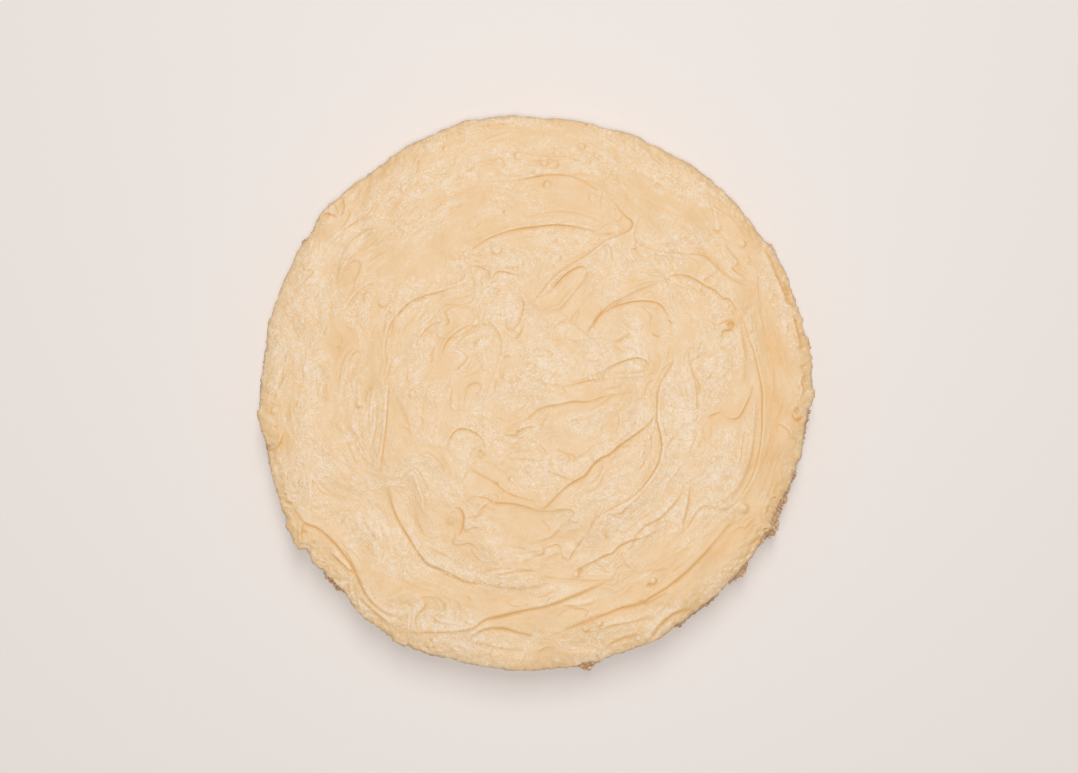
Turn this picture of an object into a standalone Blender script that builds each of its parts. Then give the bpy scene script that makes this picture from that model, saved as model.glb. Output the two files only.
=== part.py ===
"""A round cookie cake: a flat baked crumb base under one layer of cream, spread in swirls.

Metres, +Z up. The origin is the middle of the underside, which lies flat on z = 0.
Angles run counterclockwise from +X, seen from above.
"""

import math
from collections import namedtuple

import bmesh
import bpy
from mathutils import Vector, noise

MM = 0.001

# Baked base
BASE_RADIUS = 125.2 * MM
BASE_HEIGHT = 18.0 * MM
BASE_SEGMENTS = 180
BASE_ROWS = 6
BASE_ROUNDING = 1.2 * MM
CRUMB_GRAIN = 7.0 * MM
CRUMB_DEPTH = 1.5 * MM
BASE_WAVE = 38.0 * MM
BASE_WAVE_DEPTH = 0.9 * MM

# Cream layer
JOINT_GAP = 0.3 * MM
CREAM_BOTTOM = BASE_HEIGHT + JOINT_GAP
CREAM_RADIUS = 126.1 * MM
CREAM_THICKNESS = 6.2 * MM
CREAM_RIM = 3.6 * MM
CREAM_SHOULDER = 4.5 * MM
CREAM_CELLS = 66
EDGE_WAVE = 16.0 * MM
EDGE_WAVE_DEPTH = 1.3 * MM
EDGE_TEAR = 4.5 * MM
EDGE_TEAR_DEPTH = 1.2 * MM
SWELL_LENGTH = 34.0 * MM
SWELL_HEIGHT = 0.9 * MM
RIPPLE_LENGTH = 11.0 * MM
RIPPLE_HEIGHT = 0.35 * MM
RIDGE_WIDTH = 3.2 * MM
FURROW_SHARE = 0.45

# Rows of the cream's torn side, below its top edge: height above the underside, push outwards
CREAM_SIDE_ROWS = ((1.9 * MM, 0.5 * MM), (0.0, -0.9 * MM))

# Linear colours
CREAM_COLOUR = (0.838, 0.610, 0.376, 1.0)
CRUMB_COLOUR = (0.560, 0.335, 0.175, 1.0)
CREAM_ROUGHNESS = 0.42
CRUMB_ROUGHNESS = 0.95

Bulge = namedtuple("Bulge", "angle width reach")

# Where the spread cream hangs over its base or stops short of it: degrees, degrees, mm
CREAM_BULGES = (
    Bulge(8, 3.5, 2.8),
    Bulge(32, 3, 1.9),
    Bulge(104, 9, 2.6),
    Bulge(140, 4, 2.6),
    Bulge(172, 14, -1.8),
    Bulge(185, 4, 3.2),
    Bulge(192, 2.5, -3.4),
    Bulge(210, 6, 3.0),
    Bulge(238, 7, 2.7),
    Bulge(276, 5, -1.4),
    Bulge(302, 10, -2.2),
    Bulge(332, 18, -3.4),
)

# Broken crumbs that stand out of the base's side: degrees, degrees, mm
BASE_CRAGS = (
    Bulge(10, 1.6, 1.8),
    Bulge(33, 2.0, 3.4),
    Bulge(47, 1.4, 1.6),
    Bulge(146, 1.5, 1.4),
    Bulge(205, 1.8, 1.7),
    Bulge(222, 1.4, 1.5),
    Bulge(241, 2.2, 3.6),
    Bulge(264, 1.5, 1.6),
    Bulge(281, 2.0, 3.2),
    Bulge(297, 1.4, 1.2),
    Bulge(331, 2.0, 4.2),
)

Sweep = namedtuple("Sweep", "x y radius start end rise")

# Arcs left by the spatula: centre in mm, radius in mm, degrees along the arc, height in mm
SWEEPS = (
    Sweep(31, -4, 74, 36, -39, 1.2),
    Sweep(-18, 19, 131, -35, -78, 1.2),
    Sweep(65, 22, 31, 132, 26, 0.9),
    Sweep(50, 29, 14, 135, 12, 0.9),
    Sweep(16, -6, 59, 26, -8, 0.8),
    Sweep(-17, 0, 78, 12, -67, 1.0),
    Sweep(70, -82, 69, 100, 163, 1.2),
    Sweep(33, -62, 62, 137, 66, 0.8),
    Sweep(28, -30, 41, -16, -67, 0.8),
    Sweep(-8, -28, 63, 151, 268, 1.4),
    Sweep(-8, -28, 69, 158, 184, 0.8),
    Sweep(-72, 5, 15, 112, 204, 0.7),
    Sweep(-38, 18, 30, 80, 192, 0.9),
    Sweep(-57, 37, 12, 105, 217, 0.6),
    Sweep(-69, 32, 19, 168, 101, 0.6),
    Sweep(-32, 11, 24, 162, 109, 0.7),
    Sweep(-27, 19, 13, 187, -38, 0.9),
    Sweep(-31, -26, 10, 170, 0, 0.9),
    Sweep(12, 4, 72, 120, 75, 1.1),
    Sweep(125, -73, 170, 118, 137, 0.9),
    Sweep(12, 66, 34, 117, 18, 0.8),
    Sweep(11, 42, 41, 113, 61, 0.6),
    Sweep(20, 48, 10, 165, 10, 0.8),
    Sweep(66, 2, 62, 105, 58, 0.7),
    Sweep(-12, -77, 28, 119, 59, 0.9),
    Sweep(-57, 65, 175, -90, -62, 1.1),
    Sweep(-15, -125, 17, 141, 54, 0.8),
    Sweep(0, 0, 117, 236, 207, 1.1),
    Sweep(72, -117, 18, 168, 85, 0.9),
    Sweep(0, 0, 114, 152, 96, 0.6),
    Sweep(0, 0, 108, 78, 28, 0.5),
)


def clear_scene():
    for thing in list(bpy.data.objects):
        bpy.data.objects.remove(thing, do_unlink=True)


def finish_of(name, colour, roughness):
    """A plain Principled material of one food."""
    material = bpy.data.materials.new(name)
    material.use_nodes = True
    shader = material.node_tree.nodes["Principled BSDF"]
    shader.inputs["Base Color"].default_value = colour
    shader.inputs["Roughness"].default_value = roughness
    shader.inputs["Metallic"].default_value = 0.0
    material.diffuse_color = colour
    return material


def place(mesh, name, material, collection):
    """Turns a finished bmesh into a named object in the cake's collection."""
    bmesh.ops.recalc_face_normals(mesh, faces=mesh.faces)
    data = bpy.data.meshes.new(name)
    mesh.to_mesh(data)
    mesh.free()
    data.materials.append(material)
    data.shade_smooth()
    data.set_sharp_from_angle(angle=math.radians(50))
    thing = bpy.data.objects.new(name, data)
    collection.objects.link(thing)
    return thing


def degrees_apart(first, second):
    return abs((first - second + 180) % 360 - 180)


def bulges_at(angle, bulges):
    """How far the named bulges push an outline outwards at an angle, in metres."""
    return sum(
        bulge.reach * MM * math.exp(-((degrees_apart(angle, bulge.angle) / bulge.width) ** 2))
        for bulge in bulges
    )


def cream_edge(angle):
    """Radius of the cream's torn outline at an angle in degrees."""
    turn = math.radians(angle)
    spot = CREAM_RADIUS * Vector((math.cos(turn), math.sin(turn), 0))
    wave = EDGE_WAVE_DEPTH * noise.noise(spot / EDGE_WAVE)
    tear = EDGE_TEAR_DEPTH * noise.noise(spot / EDGE_TEAR)
    return CREAM_RADIUS + wave + tear + bulges_at(angle, CREAM_BULGES)


def sweep_height(sweep, x, y):
    """A ridge along one arc, with the furrow that the spatula pressed inside it."""
    across, along = x - sweep.x * MM, y - sweep.y * MM
    length = sweep.end - sweep.start
    turn = math.degrees(math.atan2(along, across)) - sweep.start
    share = (turn % 360 if length > 0 else -turn % 360) / abs(length)
    if share > 1:
        return 0.0
    reach = math.hypot(across, along) / (sweep.radius * MM)
    offset = (reach - 1) * sweep.radius * MM / RIDGE_WIDTH
    ridge = math.exp(-(offset**2))
    furrow = FURROW_SHARE * min(1.0, reach**2) * math.exp(-((offset + 2) ** 2))
    return sweep.rise * MM * math.sin(math.pi * share) ** 0.5 * (ridge - furrow)


def cream_top(x, y, inset):
    """Height of the cream's top at a point that lies inset from its outline."""
    spot = Vector((x, y, 0))
    body = CREAM_RIM + (CREAM_THICKNESS - CREAM_RIM) * (1 - math.exp(-inset / CREAM_SHOULDER))
    swell = SWELL_HEIGHT * noise.noise(spot / SWELL_LENGTH)
    ripple = RIPPLE_HEIGHT * noise.noise(spot / RIPPLE_LENGTH)
    strokes = sum(sweep_height(sweep, x, y) for sweep in SWEEPS)
    return CREAM_BOTTOM + body + swell + ripple + strokes


def spread_grid(mesh):
    """Bends a square grid into the cream's round outline and raises its top."""
    for vertex in mesh.verts:
        u, v = vertex.co.x, vertex.co.y
        disc = Vector((u * math.sqrt(1 - v * v / 2), v * math.sqrt(1 - u * u / 2), 0))
        edge = cream_edge(math.degrees(math.atan2(disc.y, disc.x)))
        spot = disc * edge
        inset = (1 - min(disc.length, 1.0)) * edge
        vertex.co = (spot.x, spot.y, cream_top(spot.x, spot.y, inset))


def cream_layer(collection):
    """The spread cream: swirled on top, torn round its side, flat underneath."""
    mesh = bmesh.new()
    bmesh.ops.create_grid(mesh, x_segments=CREAM_CELLS, y_segments=CREAM_CELLS, size=1.0)
    spread_grid(mesh)
    rim = [edge for edge in mesh.edges if edge.is_boundary]
    for height, push in CREAM_SIDE_ROWS:
        made = bmesh.ops.extrude_edge_only(mesh, edges=rim)["geom"]
        rim = [item for item in made if isinstance(item, bmesh.types.BMEdge)]
        for vertex in (item for item in made if isinstance(item, bmesh.types.BMVert)):
            outwards = Vector((vertex.co.x, vertex.co.y, 0)).normalized()
            vertex.co += outwards * push
            vertex.co.z = CREAM_BOTTOM + height
    bmesh.ops.edgeloop_fill(mesh, edges=rim)
    finish = finish_of("cream", CREAM_COLOUR, CREAM_ROUGHNESS)
    return place(mesh, "cream_layer", finish, collection)


def crumb_radius(angle, height):
    """Radius of the base's crumbling side at an angle in degrees and a height."""
    turn = math.radians(angle)
    spot = Vector((BASE_RADIUS * math.cos(turn), BASE_RADIUS * math.sin(turn), height))
    grain = CRUMB_DEPTH * noise.noise(spot / CRUMB_GRAIN)
    wave = BASE_WAVE_DEPTH * noise.noise(spot / BASE_WAVE)
    middle = 1 - abs(2 * height / BASE_HEIGHT - 1)
    rounding = BASE_ROUNDING * (1 - min(1.0, middle * BASE_ROWS / 2))
    crags = bulges_at(angle, BASE_CRAGS) * (0.35 + 0.65 * height / BASE_HEIGHT)
    return BASE_RADIUS + grain + wave - rounding + crags


def cookie_base(collection):
    """The baked base: a flat disc with a crumbling, craggy side."""
    mesh = bmesh.new()
    bmesh.ops.create_cone(
        mesh,
        cap_ends=True,
        segments=BASE_SEGMENTS,
        radius1=BASE_RADIUS,
        radius2=BASE_RADIUS,
        depth=BASE_HEIGHT,
    )
    bmesh.ops.translate(mesh, verts=mesh.verts, vec=(0, 0, BASE_HEIGHT / 2))
    upright = [
        edge
        for edge in mesh.edges
        if abs(edge.verts[0].co.z - edge.verts[1].co.z) > BASE_HEIGHT / 2
    ]
    bmesh.ops.subdivide_edges(mesh, edges=upright, cuts=BASE_ROWS - 1)
    for vertex in mesh.verts:
        angle = math.degrees(math.atan2(vertex.co.y, vertex.co.x))
        radius = crumb_radius(angle, vertex.co.z)
        scale = radius / math.hypot(vertex.co.x, vertex.co.y)
        vertex.co.x *= scale
        vertex.co.y *= scale
    finish = finish_of("crumb", CRUMB_COLOUR, CRUMB_ROUGHNESS)
    return place(mesh, "cookie_base", finish, collection)


def main():
    clear_scene()
    cake = bpy.data.collections.new("cookie_cake")
    bpy.context.scene.collection.children.link(cake)
    cookie_base(cake)
    cream_layer(cake)


main()
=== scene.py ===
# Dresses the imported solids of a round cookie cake: swirled cream over a crumbly baked base
import itertools
import math
from collections import namedtuple

import bmesh
import bpy
import numpy as np
from bpy.props import FloatProperty, FloatVectorProperty, IntProperty, PointerProperty
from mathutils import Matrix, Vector, noise


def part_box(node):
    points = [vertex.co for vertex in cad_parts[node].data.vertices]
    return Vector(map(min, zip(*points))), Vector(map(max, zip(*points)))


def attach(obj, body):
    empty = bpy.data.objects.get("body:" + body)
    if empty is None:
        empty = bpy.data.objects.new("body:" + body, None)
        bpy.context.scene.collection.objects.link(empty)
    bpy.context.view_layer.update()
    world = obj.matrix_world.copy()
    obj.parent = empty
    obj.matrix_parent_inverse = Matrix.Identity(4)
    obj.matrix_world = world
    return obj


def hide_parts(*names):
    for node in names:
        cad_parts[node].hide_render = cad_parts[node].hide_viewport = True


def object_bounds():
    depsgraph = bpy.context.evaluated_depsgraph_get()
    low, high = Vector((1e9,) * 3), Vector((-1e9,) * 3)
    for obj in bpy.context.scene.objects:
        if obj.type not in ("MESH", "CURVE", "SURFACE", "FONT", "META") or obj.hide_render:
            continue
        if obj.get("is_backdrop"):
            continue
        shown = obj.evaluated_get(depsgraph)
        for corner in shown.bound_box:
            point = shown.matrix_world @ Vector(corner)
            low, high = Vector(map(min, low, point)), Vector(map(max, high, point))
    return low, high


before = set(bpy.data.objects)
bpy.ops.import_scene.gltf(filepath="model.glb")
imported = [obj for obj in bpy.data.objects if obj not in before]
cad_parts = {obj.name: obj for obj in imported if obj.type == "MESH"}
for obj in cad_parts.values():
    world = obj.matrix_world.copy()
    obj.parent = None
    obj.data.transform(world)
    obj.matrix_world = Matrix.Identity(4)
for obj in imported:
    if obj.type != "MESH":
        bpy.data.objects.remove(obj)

bl_info = {
    "name": "Cookie Cake",
    "version": (1, 0, 0),
    "blender": (4, 5, 0),
    "location": "View3D > Sidebar > Cookie Cake",
    "description": "Dresses the packed solids of a round cookie cake with cream, crumb and light",
    "category": "Object",
}

# All is in metres with +Z up, and the photograph's top is +Y. MM turns millimetres into metres.
CAD_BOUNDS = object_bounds()
MM = 0.001
BASE_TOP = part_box("cookie_base")[1].z
CREAM_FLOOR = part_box("cream_layer")[0].z

# How long and how deep the waves and tears of the cream's outline are
EDGE_WAVE = 16.0 * MM
EDGE_WAVE_DEPTH = 1.3 * MM
EDGE_TEAR = 4.5 * MM
EDGE_TEAR_DEPTH = 0.75 * MM
FINE_TEAR = 1.6 * MM
FINE_TEAR_DEPTH = 0.42 * MM
FINE_TEAR_FADE = 2.0 * MM

# The cream's top and side. A pair is two insets from the edge, and side lumps have a size, a height
# and a seed.
CREAM_CELLS = 290
CREAM_SIDE_ROWS = 10
CREAM_LIP = 1.2 * MM
CREAM_SINK = 0.2 * MM
TORN_FROM = 0.88
SHOULDER = 3.0 * MM
SWELL_LENGTH = 34.0 * MM
RIPPLE_LENGTH = 11.0 * MM
RAGGED_RIM = (9.0 * MM, 1.0 * MM)
FOLDED_FROM = (1.0 * MM, 7.0 * MM)
CALM_FOLDS = 0.6
DROOP_START = 1.0 * MM
DROOP_SHARE = 1.3
DROOP_MOST = 4.5 * MM
SIDE_TURN = 0.94 * math.pi
SIDE_FLUTING = 0.7
SIDE_LUMPS = ((2.9 * MM, 0.5 * MM, 12), (1.4 * MM, 0.28 * MM, 13))
SIDE_LUMPS_LEAST = 0.5
SIDE_LUMPS_TORN = 0.6
LIP_ROUNDNESS = 0.9
TUCK = 1.5 * MM

# The base's outline, its section and its open crumb
BASE_SEGMENTS = 1230
BASE_ROWS = 62
BASE_ROUNDING = 1.2 * MM
BASE_WAVE = 38.0 * MM
BASE_WAVE_DEPTH = 0.9 * MM
CRUMB_GRAIN = 7.0 * MM
CRUMB_DEPTH = 1.5 * MM
CRAG_FOOT = 0.35
TOP_STRIP = 11.0 * MM
UNDER_STRIP = 10.0 * MM
CRUMB_LUMP = 7.0 * MM
CRUMB_SWAY = 3.0 * MM
CRUMB_CELL = 3.3 * MM
CRUMB_BIT = 1.6 * MM
SMOOTH_FOOT = 1.5 * MM
ROUGH_TOP = (8.0 * MM, 2.0 * MM)
TOP_RISE = 0.1 * MM

# Strokes of the spatula, in mm
SWIRL_MIDDLE_Y = 8.0
SWIRL_SOFTNESS = 500.0
SWIRL_SWAYS = ((40.0, 10.0, 14), (18.0, 5.0, 15))
PATH_STEP = 1.0
END_FADE = 0.45
LEE_WIDTH = 1.0
CREST_SHIFT = 0.9
FURROW_SHARE = 0.4
FURROW_WIDTH = 1.2
FURROW_SHIFT = 1.6
RISE_SCALE = 0.25
CREASE_REACH = 2.4
CREASE_LAYERS = ("a", "b")
CREASE_CLEARANCE = 5.0
PLAIN_FLOW = 0.22
STEEPEST = 0.6

# Lesser folds and wisps between the strokes, in mm: how far across, how far along, how high
FOLDS = ((7.0, 26.0, 0.14), (3.6, 15.0, 0.07))
WISPS = ((2.6, 15.0, 0.05), (1.5, 8.0, 0.025), (4.2, 5.5, 0.045), (2.2, 3.0, 0.024))
FOLD_PATCH = 3.2
FOLD_WIDTH = 0.4

# How much a small blob counts in the cream's height, in the paleness painted on crests and in the shade
# painted on slopes that face away from the light
BUMP_HEIGHT = 0.3
BUMP_LIFT = 0.5
BUMP_SLOPE = 0.36
SPOT_STEEPNESS = 1.1
ZONE_SOFTNESS = 1.3

# Torn, porous cream at the rim: size and height in mm, and a seed
TEARS = ((3.1, 0.4, 7), (1.7, 0.3, 8))

# How the pale and smooth fields of the cream sway, in mm
FIELD_SWAY = 16.0
FIELD_SWAY_REACH = 3.5

Bulge = namedtuple("Bulge", "angle width reach")
Flap = namedtuple("Flap", "start end ramp reach")
Spot = namedtuple("Spot", "x y radius rise")
Zone = namedtuple("Zone", "x y long wide turn tone")
Stroke = namedtuple("Stroke", "path rise width lee crease comb")
Grain = namedtuple("Grain", "size detail rough bend", defaults=(1.0, 0.5, 0.0))

# Noises in the materials: size in metres, detail, roughness and bend
CREAM_BROAD = Grain(11.0 * MM, bend=0.3)
CREAM_BANDS = Grain(4.6 * MM, bend=0.4)
CREAM_WISPS = Grain(2.3 * MM, bend=0.5)
CREAM_CURLS = Grain(2.1 * MM, bend=1.4)
CREAM_FLECKS = Grain(1.25 * MM, 2.0, 0.55, 0.9)
CREAM_FINE = Grain(0.6 * MM)
CRUMB_PATCHES = Grain(9.0 * MM, 3.0, 0.6)
CRUMB_GRAINS = Grain(1.5 * MM, 4.0, 0.65, 0.4)
CRUMB_FINE = Grain(0.5 * MM, 2.0, 0.6)
FLOOR_CLOUDS = Grain(0.4, 3.0)
CREAM_PORE = 3.4 * MM
CRUMB_SHAPE = 2.3 * MM
CRUMB_BEND = 2.0 * MM
CRUMB_BEND_REACH = 1.4 * MM

# How deep the fine relief of the materials is, and how far light reaches into the cream
CREAM_SKIN = 0.2 * MM
CREAM_GLOW = 1.3 * MM
CRUMB_SKIN = 0.7 * MM

# How fast noise changes along the cream's flow: the smaller, the longer its bands
LONG_DRAW = 0.42
SHORT_DRAW = 0.75

# The stage: where the camera looks, the level that its height is measured from, and the light
VIEW_MIDDLE = (2.5 * MM, 3.1 * MM)
CREAM_LEVEL = 22.0 * MM
FLOOR_SIDE = 3.0
LAMP_COLOUR = (1.0, 0.985, 0.965)
ROOM_COLOUR = (0.95, 0.97, 1.0, 1.0)

# Crumbs that cling to the side: how many more at a crag or a crumbly stretch, and their sizes in mm
CRAG_CRUMBS = 2.6
CRAG_CRUMBS_WIDTH = 1.6
ARC_CRUMBS = 0.9
CRUMBLY_ARCS = ((340, 22), (290, 14), (46, 12), (125, 14), (222, 12), (200, 8))
LEAST_CRUMB = 0.45
CRUMB_RANGE = 0.75

# Smears of cream on the base's side: degrees, height in mm, half width and half height in mm
SMEARS = (
    (12, 16.5, 4.5, 2.2), (31, 17.0, 3.0, 1.8), (68, 17.4, 5.5, 1.6), (101, 16.4, 6.0, 2.4),
    (141, 16.0, 3.4, 3.0), (163, 17.2, 4.5, 1.5), (186, 16.0, 5.0, 3.4), (210, 15.4, 4.0, 3.6),
    (238, 16.8, 4.6, 1.8), (256, 17.2, 5.0, 1.6), (299, 17.4, 3.6, 1.4),
)
SMEAR_THICKNESS = 0.9 * MM
SMEAR_OUT = 0.1 * MM


def listed(kind, *rows):
    """A table's rows as named tuples of one kind."""
    return tuple(kind(*row) for row in rows)


# How torn the cream's edge is at least, and where it is worse: degrees, degrees, share
LEAST_RAGGED = 0.3
RAGGED_ARCS = listed(
    Bulge,
    (330, 16, 1.0), (240, 16, 0.8), (205, 22, 0.75), (290, 22, 0.6),
    (12, 16, 0.7), (48, 20, 0.5), (118, 26, 0.45), (185, 12, 0.6),
)

# Where the cream hangs over its base or stops short of it: degrees, degrees, mm
CREAM_BULGES = listed(
    Bulge,
    (0.3, 3, 1.8), (6.5, 3.5, 2.4), (16, 6, 1.6), (25.5, 3, 1.6), (31.5, 3, 1.9), (43, 3, 1.0),
    (55, 8, 0.7), (104, 9, 2.2), (104.5, 2, 0.9), (138.5, 4, 1.2), (152, 6, -0.6), (174, 12, -1.9),
    (184.6, 3, 1.3), (191.5, 3, -1.6), (210.5, 4, 1.6), (217.5, 2, 1.4), (234, 6, 2.3), (245.5, 7, 3.0),
    (258, 12, 0.8), (274, 8, 0.7), (308, 9, -1.6), (334, 18, -2.4), (346.5, 2, 0.9),
)

# Torn lips with abrupt ends: first and last degree, ramp in degrees, mm
CREAM_FLAPS = listed(
    Flap,
    (357, 361, 0.4, 1.3), (9, 12, 0.3, 0.6), (138.2, 140.6, 0.4, 0.6), (183.2, 186, 0.4, 1.1),
    (207.2, 214.4, 1.0, 1.8), (211.2, 214.2, 0.5, 1.1), (240, 243.4, 0.4, 1.3), (329, 331.2, 0.5, 1.6),
)

# Broken crumbs that stand out of the base's side: degrees, degrees, mm
BASE_CRAGS = listed(
    Bulge,
    (10, 1.6, 1.8), (31.6, 1.7, 4.8), (47, 1.4, 1.6), (146, 1.5, 1.4), (205, 1.8, 1.7), (222, 1.4, 1.5),
    (241, 2.2, 3.6), (264, 1.5, 1.6), (281, 2.0, 3.2), (297, 1.4, 1.2), (330.2, 2.0, 3.0),
)

# Where the base's side stands out a little more, or below 0 is worn back
BASE_WORN = listed(
    Bulge,
    (44, 8, 1.6), (62, 4, 0.7), (125, 11, 0.8), (136, 3, 0.9), (153, 4, 0.6), (170, 6, -1.4),
    (178, 3, 0.5), (200, 4, 1.8), (223.5, 6, 2.4), (241, 4, 1.6), (272, 2, 1.2), (282, 4, 1.8),
    (290, 3, 0.4), (310, 8, 0.9), (319.5, 2.5, 2.3), (327, 2, 0.8), (334, 4, 1.7), (341, 6, 1.5),
    (355, 5, 2.1),
)

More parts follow.
